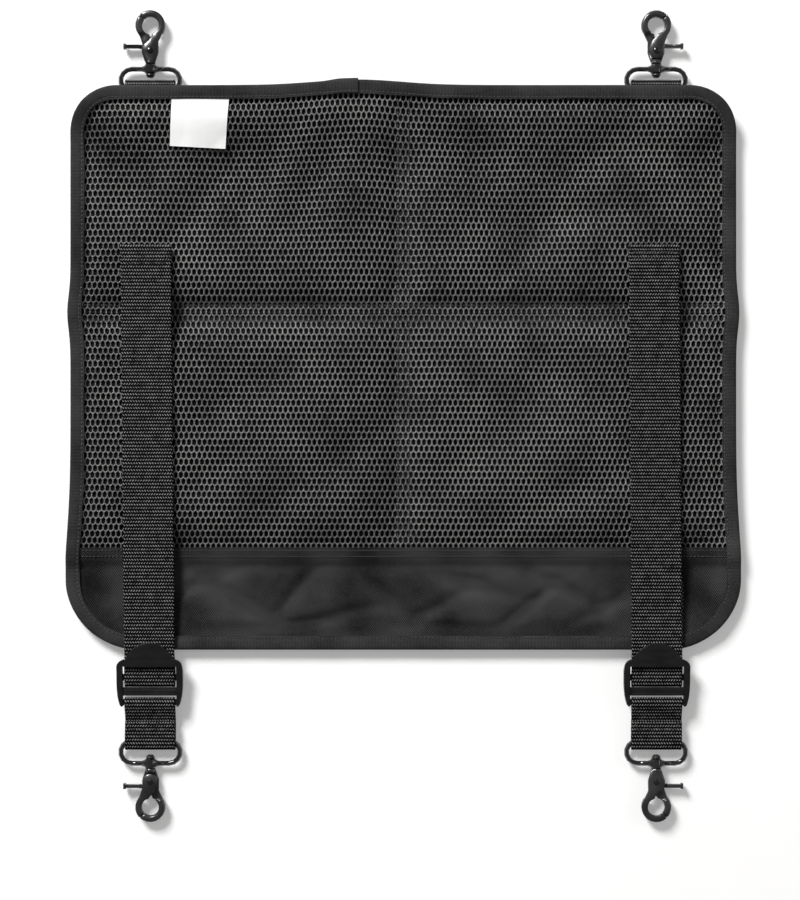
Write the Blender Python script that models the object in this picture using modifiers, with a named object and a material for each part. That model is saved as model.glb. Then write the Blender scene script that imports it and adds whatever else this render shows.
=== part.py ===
# Car seat protector: a padded mat with a spacer-mesh face, hung by webbing, ladder-lock
# buckles and swivel trigger snap hooks. It lies flat, mesh side up. Metres, +Z up.

import math

import bmesh
import bpy
from mathutils import Matrix, Vector

# Clearance between pieces that touch
GAP = 0.0003

# Points closer than this are one point
WELD = 0.000002

# Mat outline, flat on XY with +Y towards the top edge
MAT_WIDTH = 0.5040
MAT_LENGTH = 0.4265
TOP_CORNER_RADIUS = 0.036
BOTTOM_CORNER_RADIUS = 0.052
FOLD_BULGE = 0.0024
HEM_BULGE = 0.0038
TOP_CREST = 0.0042
TOP_CREST_X = -0.034
TOP_CREST_SPREAD = 0.046

# How far the rim stands up from the flat middle, and over what width it rises
SIDE_LIFT = 0.0045
SIDE_LIFT_ZONE = 0.034
TOP_LIFT = 0.0108
TOP_LIFT_ZONE = 0.062
HEM_LIFT = 0.0040
HEM_LIFT_ZONE = 0.050

# Layers
BASE_THICKNESS = 0.0010
FACE_THICKNESS = 0.0020
HEM_THICKNESS = 0.0010
PAD_CROWN = 0.0066
PAD_EDGE_POWER = 8
PAD_WAVE = 0.0007

# Quilting: seam channels, hem panel and the lap of the mesh under it
FOLD_Y = 0.0420
CROSS_CHANNEL = 0.0150
CENTRE_CHANNEL = 0.0130
HEM_DEPTH = 0.0775
HEM_LAP = 0.0085
HEM_WAVE = 0.0014

# Edge binding
BINDING_WIDTH = 0.0106
BINDING_THICKNESS = 0.0008
BINDING_JOIN_X = -0.034
BINDING_LAP = 0.014
BINDING_EASE = 0.0005

# Label
LABEL_WIDTH = 0.0426
LABEL_LENGTH = 0.0395
LABEL_THICKNESS = 0.0004
LABEL_X = -0.1545

# Webbing
WEBBING_WIDTH = 0.0380
WEBBING_THICKNESS = 0.0014
HOOK_X = 0.1916
STRAP_LEAN = 0.0026
STRAP_TOP_INSET = 0.1200
TAIL_LENGTH = 0.072
UPPER_TAB_SEWN = 0.026
LOOP_SLACK = 0.0034
UPPER_SLACK = 0.0056

# Ladder-lock buckle, measured along the strap from the tip of its lifting tab
BUCKLE_WIDTH = 0.0490
BUCKLE_LENGTH = 0.0466
BUCKLE_THICKNESS = 0.0054
BUCKLE_ARM = 0.0029
BUCKLE_BARREL = 0.0008
ARM_CORNER = 0.0010
BUCKLE_BAR_THICKNESS = 0.0030
BUCKLE_LIFT = 0.0080
BUCKLE_OVERLAP = 0.0040
SHOULDER_START = 0.0117
TAB_RADIUS = 0.0205
TAB_END = 0.0155
TAB_THICKNESS = 0.0024
TAB_RISE = 7.0
BUCKLE_HUMP = 0.0037
BUCKLE_EDGE = 0.0004
GRIP_BAR = (0.0220, 0.0270)
MIDDLE_BAR = (0.0320, 0.0382)
END_BAR = (0.0410, 0.0456)
END_BAR_TO_RING = 0.0298

# Swivel eye: an oval wire ring with a boss for the swivel stud
RING_WIDTH = 0.0488
RING_HEIGHT = 0.0208
RING_WIRE = 0.0038
RING_INSET = 0.0036
HOOK_LIFT = 0.0048
BOSS_RADIUS = 0.0045
BOSS_LENGTH = 0.0070
BOSS_FLARE = 0.0016

# Trigger snap hook, measured from its pivot rivet
PIVOT_TO_RING = 0.0137
PIVOT_TO_CLAW = 0.0193
CLAW_RADIUS = 0.0113
CLAW_BORE = 0.00655
HOOK_THICKNESS = 0.0060
HUB_RADIUS = 0.0064
DISC_RADIUS = 0.0060
NECK_RADIUS = 0.0039
STUD_RADIUS = 0.0020
STUD_CLEARANCE = 0.0003
BUTTON_RADIUS = 0.0034
BUTTON_HEIGHT = 0.0028
RIVET_RADIUS = 0.0014
RIVET_HEAD_RADIUS = 0.0023
RIVET_HEAD_HEIGHT = 0.0010
SPRING_WIRE = 0.0006
SPRING_RADIUS = 0.0024
SPRING_POCKET = 0.0033
SPRING_TURNS = 2
LEVER_LENGTH = 0.0200
LEVER_THICKNESS = 0.0032
LEVER_OFFSET = 0.0034
LEVER_TIP = 0.0042
CLAW_JOINT_ANGLE = 136.0
EDGE_ROUNDING = 0.0010

# Sizes that follow from the driving dimensions
HALF_WIDTH = MAT_WIDTH / 2
WIRE_RADIUS = RING_WIRE / 2
RING_BAR_TO_WIRE = RING_HEIGHT - RING_WIRE
HOOK_REACH = RING_BAR_TO_WIRE + PIVOT_TO_RING + PIVOT_TO_CLAW + CLAW_RADIUS
ABOVE_MAT = HOOK_REACH - RING_INSET
END_BAR_MIDDLE = sum(END_BAR) / 2
BELOW_MAT = END_BAR_MIDDLE - BUCKLE_OVERLAP + END_BAR_TO_RING + HOOK_REACH
MAT_TOP = (MAT_LENGTH - ABOVE_MAT + BELOW_MAT) / 2
MAT_BOTTOM = MAT_TOP - MAT_LENGTH
EDGE_INSET = BINDING_THICKNESS + GAP
PAD_INSET = BINDING_WIDTH + 0.0035
FOLD_LINE = (MAT_TOP + MAT_BOTTOM) / 2 + FOLD_Y
HEM_TOP = MAT_BOTTOM + HEM_DEPTH
PAD_BOTTOM = HEM_TOP + 0.0035
TOP_BAR_Y = MAT_TOP - RING_INSET
BUCKLE_TIP_Y = MAT_BOTTOM + BUCKLE_OVERLAP
END_BAR_Y = BUCKLE_TIP_Y - END_BAR_MIDDLE
BOTTOM_BAR_Y = END_BAR_Y - END_BAR_TO_RING
STACK = BASE_THICKNESS + GAP


def clear_scene():
    for item in list(bpy.data.objects):
        bpy.data.objects.remove(item, do_unlink=True)


def new_collection(name):
    group = bpy.data.collections.new(name)
    bpy.context.scene.collection.children.link(group)
    return group


def new_material(name, colour, roughness, metallic=0.0):
    material = bpy.data.materials.new(name)
    material.use_nodes = True
    shader = material.node_tree.nodes["Principled BSDF"]
    shader.inputs["Base Color"].default_value = (*colour, 1.0)
    shader.inputs["Roughness"].default_value = roughness
    shader.inputs["Metallic"].default_value = metallic
    return material


def add_object(name, mesh, group, material=None):
    piece = bpy.data.objects.new(name, mesh)
    group.objects.link(piece)
    if material is not None:
        mesh.materials.clear()
        mesh.materials.append(material)
    return piece


def mesh_from(tool, name):
    bmesh.ops.recalc_face_normals(tool, faces=tool.faces)
    mesh = bpy.data.meshes.new(name)
    tool.to_mesh(mesh)
    tool.free()
    return mesh


def smooth_step(value):
    value = min(max(value, 0.0), 1.0)
    return value * value * (3.0 - 2.0 * value)


def blend(low, high, share):
    return low + (high - low) * share


# The mat's soft layers are grids laid on a rectangle, whose corners one shared rule rounds off.
# Heights are worked out on the rectangle, before the rounding.

FOLD_BULGE_SPREAD = 0.018
HEM_BULGE_SPREAD = 0.050
HEM_BULGE_HEIGHT = 0.058
WAVE_LENGTH = 0.085
HEM_FOLD_LENGTH = 0.118
HEM_DROP = 0.007
BINDING_RAMP = 0.008
LAP_CLIMB = 0.012


def corner_of(y):
    if y > FOLD_LINE:
        return TOP_CORNER_RADIUS, MAT_TOP, 1.0
    return BOTTOM_CORNER_RADIUS, MAT_BOTTOM, -1.0


def round_corner(x, y):
    radius, edge, up = corner_of(y)
    middle_x = HALF_WIDTH - radius
    middle_y = edge - up * radius
    across = (abs(x) - middle_x) / radius
    along = up * (y - middle_y) / radius
    if across <= 0.0 or along <= 0.0:
        return x, y
    if across >= along:
        angle = math.pi / 4 * along / across
    else:
        angle = math.pi / 2 - math.pi / 4 * across / along
    reach = radius * max(across, along)
    rounded = middle_x + reach * math.cos(angle)
    return math.copysign(rounded, x), middle_y + up * reach * math.sin(angle)


def place(x, y):
    x, y = round_corner(x, y)
    fold = FOLD_BULGE * math.exp(-((y - FOLD_LINE) / FOLD_BULGE_SPREAD) ** 2)
    hem = HEM_BULGE * math.exp(-((y - MAT_BOTTOM - HEM_BULGE_HEIGHT) / HEM_BULGE_SPREAD) ** 2)
    crest = TOP_CREST * math.exp(-((x - TOP_CREST_X) / TOP_CREST_SPREAD) ** 2)
    upper_share = smooth_step((y - FOLD_LINE) / (MAT_TOP - FOLD_LINE))
    return x * (1.0 + (fold + hem) / HALF_WIDTH), y + crest * upper_share


def rise(distance, zone):
    return smooth_step(1.0 - distance / zone)


def lift(x, y):
    side = SIDE_LIFT * rise(HALF_WIDTH - abs(x), SIDE_LIFT_ZONE)
    top = TOP_LIFT * rise(MAT_TOP - y, TOP_LIFT_ZONE)
    hem = HEM_LIFT * rise(y - MAT_BOTTOM, HEM_LIFT_ZONE)
    return (side ** 4 + top ** 4 + hem ** 4) ** 0.25


def pad_profile(value, low, high):
    share = (2.0 * value - low - high) / (high - low)
    return max(0.0, 1.0 - abs(share) ** PAD_EDGE_POWER)


def pad_height(x, y):
    across = pad_profile(abs(x), CENTRE_CHANNEL / 2, HALF_WIDTH - PAD_INSET)
    if y > FOLD_LINE:
        along = pad_profile(y, FOLD_LINE + CROSS_CHANNEL / 2, MAT_TOP - PAD_INSET)
    else:
        along = pad_profile(y, PAD_BOTTOM, FOLD_LINE - CROSS_CHANNEL / 2)
    wave = PAD_WAVE * math.sin(2.0 * math.pi * (x + y) / WAVE_LENGTH)
    return (PAD_CROWN + wave) * across * along


def face_low(x, y):
    return lift(x, y) + STACK + pad_height(x, y)


def face_top(x, y):
    return face_low(x, y) + FACE_THICKNESS


def hem_low(x, y):
    lap_end = HEM_TOP - HEM_LAP
    flat_top = lap_end - HEM_DROP
    flat_bottom = MAT_BOTTOM + BINDING_WIDTH
    over_mesh = smooth_step((y - flat_top) / (HEM_DROP - GAP))
    share = min(max((y - flat_bottom) / (flat_top - flat_bottom), 0.0), 1.0)
    window = math.sin(math.pi * share) ** 2 * (1.0 - rise(HALF_WIDTH - abs(x), SIDE_LIFT_ZONE))
    fold = 0.5 + 0.5 * math.sin(2.0 * math.pi * (x - 0.6 * y) / HEM_FOLD_LENGTH)
    return lift(x, y) + STACK + over_mesh * (FACE_THICKNESS + GAP) + HEM_WAVE * window * fold


def hem_top(x, y):
    return hem_low(x, y) + HEM_THICKNESS


def cover_top(x, y):
    if y <= HEM_TOP:
        return hem_top(x, y)
    near_hem = 1.0 - smooth_step((y - HEM_TOP - GAP) / BINDING_RAMP)
    return lift(x, y) + STACK + FACE_THICKNESS + near_hem * (GAP + HEM_THICKNESS)


def base_top(x, y):
    return lift(x, y) + BASE_THICKNESS


def pad_low(x, y):
    return base_top(x, y) + GAP


def pad_top(x, y):
    return face_low(x, y) - GAP


def cosine_lines(low, high, count):
    return [blend(low, high, 0.5 - 0.5 * math.cos(math.pi * step / count)) for step in range(count + 1)]


def corner_insets(radius, count):
    steps = [blend(radius, PAD_INSET, step / count) for step in range(count + 1)]
    return steps + [BINDING_WIDTH, EDGE_INSET]


def mirrored(lines):
    return [-value for value in reversed(lines)] + list(lines)


def soft_layer(name, x_lines, y_lines, low, top, group, material):
    tool = bmesh.new()
    columns = len(x_lines) - 1
    rows = len(y_lines) - 1
    bmesh.ops.create_grid(tool, x_segments=columns, y_segments=rows, size=1.0)
    lifted = bmesh.ops.extrude_face_region(tool, geom=tool.faces[:])["geom"]
    for item in lifted:
        if isinstance(item, bmesh.types.BMVert):
            item.co.z = 1.0
    for vert in tool.verts:
        x = x_lines[round((vert.co.x + 1.0) / 2.0 * columns)]
        y = y_lines[round((vert.co.y + 1.0) / 2.0 * rows)]
        height = top(x, y) if vert.co.z > 0.5 else low(x, y)
        vert.co = Vector((*place(x, y), height))
    piece = add_object(name, mesh_from(tool, name), group, material)
    piece.data.shade_smooth()
    piece.data.set_sharp_from_angle(angle=math.radians(50))
    return piece


def grid_lines():
    """The lines that every layer of the mat and its binding share, so that they bend alike."""
    side = [HALF_WIDTH - inset for inset in corner_insets(TOP_CORNER_RADIUS, 3)]
    panel = cosine_lines(CENTRE_CHANNEL / 2, HALF_WIDTH - TOP_CORNER_RADIUS, 5)[:-1]
    top_insets = [TOP_LIFT_ZONE, (TOP_LIFT_ZONE + TOP_CORNER_RADIUS) / 2]
    top_insets += corner_insets(TOP_CORNER_RADIUS, 3)
    upper = cosine_lines(FOLD_LINE + CROSS_CHANNEL / 2, MAT_TOP - TOP_LIFT_ZONE, 4)[:-1]
    lower = cosine_lines(PAD_BOTTOM, FOLD_LINE - CROSS_CHANNEL / 2, 6)
    bottom = [MAT_BOTTOM + inset for inset in reversed(corner_insets(BOTTOM_CORNER_RADIUS, 4))]
    lap = [HEM_TOP - HEM_LAP - HEM_DROP, HEM_TOP - HEM_LAP, HEM_TOP]
    return {"panel_x": panel, "side_x": side, "bottom": bottom, "lap": lap, "lower": lower,
            "upper": upper, "top": [MAT_TOP - inset for inset in top_insets]}


def build_mat(group, materials):
    lines = grid_lines()
    all_x = mirrored(lines["panel_x"] + lines["side_x"])
    mesh_y = lines["lap"][1:] + lines["lower"] + lines["upper"] + lines["top"]
    base_y = lines["bottom"] + lines["lap"][:1] + mesh_y
    soft_layer("mesh_face", all_x, mesh_y, face_low, face_top, group, materials["mesh"])
    soft_layer("hem_panel", all_x, lines["bottom"] + lines["lap"], hem_low, hem_top, group, materials["hem"])
    soft_layer("base_sheet", all_x, base_y, lift, base_top, group, materials["backing"])
    inner_x = (lines["panel_x"] + lines["side_x"][:3])[1:]
    inner_upper = (lines["upper"] + lines["top"][:5])[1:]
    for side_name, lines_x in (("left", [-x for x in reversed(inner_x)]), ("right", inner_x)):
        for row_name, lines_y in (("upper", inner_upper), ("lower", lines["lower"][1:-1])):
            soft_layer(f"foam_pad_{row_name}_{side_name}", lines_x, lines_y, pad_low, pad_top, group,
                       materials["foam"])


# Edge binding: one tape folded over the rim, whose end laps over its start on the top edge

def inset_point(x, y, depth):
    radius, edge, up = corner_of(y)
    middle_x = HALF_WIDTH - radius
    middle_y = edge - up * radius
    across = abs(x) - middle_x
    along = up * (y - middle_y)
    share = (radius - depth) / radius
    if across > 0.0 and along > 0.0:
        return math.copysign(middle_x + across * share, x), middle_y + up * along * share
    if across >= radius - GAP:
        return math.copysign(HALF_WIDTH - depth, x), y
    return x, edge - up * depth


def binding_stations():
    """Places on the mat's edge, clockwise from under the lap, each with its climb onto the tape's start."""
    lines = grid_lines()
    right_x = lines["panel_x"] + lines["side_x"][:-1] + [HALF_WIDTH]
    all_x = mirrored(right_x)
    all_y = [MAT_BOTTOM] + lines["bottom"][1:] + lines["lap"] + lines["lower"] + lines["upper"]
    all_y += lines["top"][:-1]
    lap_start = BINDING_JOIN_X - BINDING_LAP
    stations = [(lap_start, MAT_TOP), (BINDING_JOIN_X - GAP, MAT_TOP)]
    stations += [(x, MAT_TOP) for x in all_x if x > BINDING_JOIN_X]
    stations += [(HALF_WIDTH, y) for y in reversed(all_y)]
    stations += [(x, MAT_BOTTOM) for x in reversed(all_x[1:-1])]
    stations += [(-HALF_WIDTH, y) for y in all_y]
    stations += [(x, MAT_TOP) for x in all_x if x < lap_start - LAP_CLIMB]
    flat = [(x, y, 0.0) for x, y in stations]
    tape_step = BINDING_THICKNESS + GAP
    climb = [(lap_start - LAP_CLIMB, 0.0), (lap_start - GAP, 1.0), (BINDING_JOIN_X, 1.0)]
    return flat + [(x, MAT_TOP, share * tape_step) for x, share in climb]


def binding_section(x, y, extra):
    depths = (BINDING_WIDTH, EDGE_INSET)
    over = []
    under = []
    for depth in depths:
        spot = inset_point(x, y, depth)
        over.append((depth, cover_top(*spot) + BINDING_EASE + extra))
        under.append((depth, lift(*spot) - BINDING_EASE - extra))
    tape = BINDING_THICKNESS
    nose_top = over[-1][1]
    nose_low = under[-1][1]
    nose = [(tape / 4 - extra, nose_top + tape / 3), (-extra, (nose_top + nose_low) / 2),
            (tape / 4 - extra, nose_low - tape / 3)]
    outer = [(depth, z + tape) for depth, z in over] + nose
    outer += [(depth, z - tape) for depth, z in reversed(under)]
    inner = under[:1] + [(tape - extra, nose_low), (tape - extra, nose_top)] + over[:1]
    section = []
    for depth, height in outer + inner:
        section.append(Vector((*place(*inset_point(x, y, depth)), height)))
    return section


def loft(name, sections, group, material):
    tool = bmesh.new()
    rings = [[tool.verts.new(point) for point in section] for section in sections]
    count = len(rings[0])
    for before, after in zip(rings, rings[1:]):
        for index in range(count):
            nearby = (index + 1) % count
            tool.faces.new((before[index], before[nearby], after[nearby], after[index]))
    tool.faces.new(rings[0])
    tool.faces.new(rings[-1])
    bmesh.ops.triangulate(tool, faces=[face for face in tool.faces if len(face.verts) > 4])
    piece = add_object(name, mesh_from(tool, name), group, material)
    piece.data.shade_smooth()
    piece.data.set_sharp_from_angle(angle=math.radians(40))
    return piece


def build_binding(group, materials):
    lines = grid_lines()
    all_x = mirrored(lines["panel_x"] + lines["side_x"])
    sections = []
    for x, y, extra in binding_stations():
        if y == MAT_TOP and abs(x) < HALF_WIDTH - TOP_CORNER_RADIUS:
            before = max(line for line in all_x if line <= x)
            after = min(line for line in all_x if line > x)
            share = (x - before) / (after - before)
            ends = zip(binding_section(before, y, extra), binding_section(after, y, extra))
            sections.append([first.lerp(last, share) for first, last in ends])
        else:
            sections.append(binding_section(x, y, extra))
    loft("edge_binding", sections, group, materials["binding"])


def build_label(group, materials):
    rest = 0.0008
    top_y = MAT_TOP - BINDING_WIDTH - GAP
    x_lines = [LABEL_X + LABEL_WIDTH * (step / 8 - 0.5) for step in range(9)]
    y_lines = [top_y - LABEL_LENGTH + LABEL_LENGTH * step / 10 for step in range(11)]
    label_low = lambda x, y: face_top(x, y) + rest
    label_top = lambda x, y: face_top(x, y) + rest + LABEL_THICKNESS
    soft_layer("label", x_lines, y_lines, label_low, label_top, group, materials["label"])


# Webbing: flat strips that follow routes of (x, y, z) points

GRIP_BAR_Y = BUCKLE_TIP_Y - sum(GRIP_BAR) / 2
GRIP_HALF = (GRIP_BAR[1] - GRIP_BAR[0]) / 2
END_HALF = (END_BAR[1] - END_BAR[0]) / 2
BAR_RADIUS = BUCKLE_BAR_THICKNESS / 2
BAR_WRAP = BAR_RADIUS + GAP + WEBBING_THICKNESS / 2
RING_WRAP = WIRE_RADIUS + GAP + WEBBING_THICKNESS / 2
PLY = WEBBING_THICKNESS + GAP
STRAP_TOP_Y = MAT_TOP - STRAP_TOP_INSET


def ribbon(name, route, group, material):
    tool = bmesh.new()
    rows = len(route) - 1
    bmesh.ops.create_grid(tool, x_segments=1, y_segments=rows, size=1.0)
    for vert in tool.verts:
        x, y, z = route[round((vert.co.y + 1.0) / 2.0 * rows)]
        vert.co = Vector((x + vert.co.x * WEBBING_WIDTH / 2, y, z))
    mesh = bpy.data.meshes.new(name)
    tool.to_mesh(mesh)
    tool.free()
    piece = add_object(name, mesh, group, material)
    thicken = piece.modifiers.new("Thickness", "SOLIDIFY")
    thicken.thickness = WEBBING_THICKNESS
    thicken.offset = 0.0
    thicken.use_even_offset = True
    return piece


def taut_over(points):
    hull = []
    for point in points:
        while len(hull) > 1:
            (y0, z0), (y1, z1) = hull[-2], hull[-1]
            if (y1 - y0) * (point[1] - z0) - (z1 - z0) * (point[0] - y0) > 0.0:
                break
            hull.pop()
        hull.append(point)
    return hull


def height_below(centre_x, y):
    heights = []
    for step in range(-2, 3):
        x = centre_x + step * WEBBING_WIDTH / 4
        for near_y in (y - 0.002, y, y + 0.002):
            inside_y = max(near_y, MAT_BOTTOM)
            top = hem_top(x, inside_y) if inside_y < HEM_TOP else face_top(x, inside_y)
            if inside_y < HEM_TOP + BINDING_RAMP:
                top = max(top, cover_top(x, inside_y))
            if inside_y < MAT_BOTTOM + BINDING_WIDTH:
                top += GAP + BINDING_THICKNESS
            heights.append(top)
    return max(heights)


def level_at(line, y):
    for (y0, z0), (y1, z1) in zip(line, line[1:]):
        if y1 <= y <= y0:
            return blend(z0, z1, (y0 - y) / (y0 - y1))
    return None


def refined(line, step):
    points = [line[0]]
    for (y0, z0), (y1, z1) in zip(line, line[1:]):
        parts = max(1, round(abs(y1 - y0) / step))
        points += [(blend(y0, y1, part / parts), blend(z0, z1, part / parts)) for part in range(1, parts + 1)]
    return points


def build_strap(name, side, group, material):
    centre = side * HOOK_X
    over_bar = (GRIP_BAR_Y - GRIP_HALF + BAR_RADIUS, BUCKLE_LIFT + BAR_WRAP)
    under_bar = (over_bar[0], BUCKLE_LIFT - BAR_WRAP)
    over_near = (GRIP_BAR_Y + GRIP_HALF - BAR_RADIUS / 2, over_bar[1])
    under_near = (over_near[0], under_bar[1])
    step = 0.004
    tail_top_y = GRIP_BAR_Y + TAIL_LENGTH
    tail_ys = [tail_top_y - step * index for index in range(int((tail_top_y - MAT_BOTTOM) / step) + 2)]
    rest = GAP + WEBBING_THICKNESS / 2
    tail_line = taut_over([(y, height_below(centre, y) + rest) for y in tail_ys] + [under_near]) + [under_bar]

    fold_y = STRAP_TOP_Y - 0.013
    fold_z = max(height_below(centre, fold_y + 0.0045 * index) for index in range(4)) + rest
    fold_top = (fold_y, fold_z + PLY)
    ys = [fold_y - step * index for index in range(1, int((fold_y - MAT_BOTTOM) / step) + 2)]
    crests = [fold_top]
    for y in ys:
        below_z = height_below(centre, y)
        tail_z = level_at(tail_line, y)
        if tail_z is not None or y > tail_top_y - step:
            below_z = max(below_z, (tail_z or 0.0) + WEBBING_THICKNESS / 2)
        crests.append((y, below_z + rest))
    crests.append(over_near)
    main_line = refined(taut_over(crests) + [over_bar], 0.012)

    turn_y = STRAP_TOP_Y - WEBBING_THICKNESS - GAP / 2
    turn = [(turn_y + PLY / 2 * math.sin(math.pi * part / 6), fold_z + PLY / 2 - PLY / 2 * math.cos(math.pi * part / 6))
            for part in range(7)]
    bar_turn = [(over_bar[0] - BAR_WRAP * math.sin(math.pi * part / 10),
                 BUCKLE_LIFT + BAR_WRAP * math.cos(math.pi * part / 10)) for part in range(1, 10)]
    tail = list(reversed(refined(tail_line, 0.014)))
    line = [(fold_y, fold_z)] + turn + main_line + bar_turn + tail
    bar_index = 1 + len(turn) + len(main_line)
    route = []
    for index, (y, z) in enumerate(line):
        share = max(0.0, (y - BUCKLE_TIP_Y) / (STRAP_TOP_Y - BUCKLE_TIP_Y))
        lean = -STRAP_LEAN * share
        if index > bar_index:
            lean = side * 0.0016 * max(0.0, (y - GRIP_BAR_Y) / TAIL_LENGTH)
        route.append((centre + lean, y, z))
    return ribbon(name, route, group, material)


def build_lower_tab(name, side, group, material):
    ring_turn_y = BOTTOM_BAR_Y - LOOP_SLACK
    bar_turn_y = END_BAR_Y + END_HALF - BAR_RADIUS
    cut_y = END_BAR_Y - END_BAR_TO_RING / 2
    ring_top = HOOK_LIFT + RING_WRAP
    lap_y = cut_y - 0.008
    bottom_slope = (BUCKLE_LIFT - BAR_WRAP - HOOK_LIFT + RING_WRAP) / (bar_turn_y - ring_turn_y)
    lap_z = HOOK_LIFT - RING_WRAP + bottom_slope * (lap_y - ring_turn_y) + PLY + GAP
    cut_z = HOOK_LIFT - RING_WRAP + bottom_slope * (cut_y - ring_turn_y) + PLY + GAP
    line = [(cut_y, max(ring_top, cut_z + PLY)), (cut_y - 0.007, ring_top)]
    for part in range(9):
        angle = math.pi * part / 8
        line.append((ring_turn_y - RING_WRAP * math.sin(angle), HOOK_LIFT + RING_WRAP * math.cos(angle)))
    for part in range(9):
        angle = math.pi * part / 8
        line.append((bar_turn_y + BAR_WRAP * math.sin(angle), BUCKLE_LIFT - BAR_WRAP * math.cos(angle)))
    line += [(END_BAR_Y - END_HALF, BUCKLE_LIFT + BAR_WRAP), (cut_y + 0.001, cut_z), (lap_y, lap_z)]
    return ribbon(name, [(side * HOOK_X, y, z) for y, z in line], group, material)


def build_upper_tab(name, side, group, material):
    centre = side * HOOK_X
    turn_y = TOP_BAR_Y + UPPER_SLACK
    sewn_y = TOP_BAR_Y - UPPER_TAB_SEWN
    ys = [sewn_y + (TOP_BAR_Y - sewn_y) * step / 10 for step in range(11)]

    def upper(y):
        sewn = min(lift(centre + offset, y) for offset in (-0.019, 0.0, 0.019)) - GAP - WEBBING_THICKNESS / 2
        return blend(HOOK_LIFT + RING_WRAP, sewn, smooth_step((TOP_BAR_Y - 0.0075 - y) / 0.006))

    def lower(y):
        return blend(HOOK_LIFT - RING_WRAP, upper(y) - PLY, smooth_step((TOP_BAR_Y - 0.004 - y) / 0.010))

    line = [(y, upper(y)) for y in ys]
    for part in range(9):
        angle = math.pi * part / 8
        line.append((turn_y + RING_WRAP * math.sin(angle), HOOK_LIFT + RING_WRAP * math.cos(angle)))
    line += [(y, lower(y)) for y in reversed(ys)]
    return ribbon(name, [(centre, y, z) for y, z in line], group, material)


# Solids for the moulded and cast pieces

def evaluated_mesh(piece, name):
    graph = bpy.context.evaluated_depsgraph_get()
    graph.update()
    mesh = bpy.data.meshes.new_from_object(piece.evaluated_get(graph), depsgraph=graph)
    mesh.transform(piece.matrix_world)
    mesh.name = name
    tool = bmesh.new()
    tool.from_mesh(mesh)
    bmesh.ops.remove_doubles(tool, verts=tool.verts, dist=0.00001)
    bmesh.ops.recalc_face_normals(tool, faces=tool.faces)
    tool.to_mesh(mesh)
    tool.free()
    bpy.data.objects.remove(piece, do_unlink=True)
    return mesh


def arc(centre, radius, start, end, steps):
    points = []
    for step in range(steps + 1):
        angle = math.radians(blend(start, end, step / steps))
        points.append((centre[0] + radius * math.cos(angle), centre[1] + radius * math.sin(angle)))
    return points


def plate(outline, low, high, rounding, group):
    curve = bpy.data.curves.new("outline", "CURVE")
    curve.dimensions = "2D"
    curve.fill_mode = "BOTH"
    curve.extrude = (high - low) / 2 - rounding
    curve.bevel_depth = rounding
    curve.offset = -rounding
    curve.bevel_resolution = 0
    spline = curve.splines.new("POLY")
    spline.points.add(len(outline) - 1)
    for point, (x, y) in zip(spline.points, outline):
        point.co = (x, y, 0.0, 1.0)
    spline.use_cyclic_u = True
    piece = bpy.data.objects.new("outline", curve)
    group.objects.link(piece)
    piece.location.z = (low + high) / 2
    bpy.context.view_layer.update()
    return evaluated_mesh(piece, "plate")


def turned(profile, steps, group, axis="Y"):
    mesh = bpy.data.meshes.new("profile")
    mesh.from_pydata([(radius, 0.0, height) for radius, height in profile],
                     [(index, index + 1) for index in range(len(profile) - 1)], [])
    piece = bpy.data.objects.new("profile", mesh)
    group.objects.link(piece)
    screw = piece.modifiers.new("Turn", "SCREW")
    screw.steps = steps
    screw.render_steps = steps
    screw.use_merge_vertices = True
    screw.merge_threshold = 0.00001
    if axis == "Y":
        piece.rotation_euler.x = -math.pi / 2
    bpy.context.view_layer.update()
    return evaluated_mesh(piece, "turned")


def block(low, high, bevel, group):
    tool = bmesh.new()
    bmesh.ops.create_cube(tool, size=1.0)
    for vert in tool.verts:
        for axis in range(3):
            vert.co[axis] = high[axis] if vert.co[axis] > 0.0 else low[axis]
    edges = [edge for edge in tool.edges if abs(edge.verts[0].co.x - edge.verts[1].co.x) > 0.0]
    if bevel > 0.0:
        bmesh.ops.bevel(tool, geom=edges, offset=bevel, segments=2, affect="EDGES", profile=0.5)
    return mesh_from(tool, "block")


def combined(name, base, steps, group):
    target = bpy.data.objects.new(name, base)
    group.objects.link(target)
    for operation, mesh in steps:
        cutter = bpy.data.objects.new("tool", mesh)
        group.objects.link(cutter)
        cut = target.modifiers.new(operation, "BOOLEAN")
        cut.operation = operation
        cut.solver = "EXACT"
        cut.object = cutter
        target.data = evaluated_and_kept(target)
        target.modifiers.clear()
        bpy.data.objects.remove(cutter, do_unlink=True)
    mesh = target.data
    bpy.data.objects.remove(target, do_unlink=True)
    mesh.name = name
    mesh.shade_smooth()
    mesh.set_sharp_from_angle(angle=math.radians(35))
    return mesh


def evaluated_and_kept(piece):
    bpy.context.view_layer.update()
    graph = bpy.context.evaluated_depsgraph_get()
    graph.update()
    mesh = bpy.data.meshes.new_from_object(piece.evaluated_get(graph), depsgraph=graph)
    tool = bmesh.new()
    tool.from_mesh(mesh)
    bmesh.ops.remove_doubles(tool, verts=tool.verts, dist=WELD)
    tool.to_mesh(mesh)
    tool.free()
    return mesh


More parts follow.
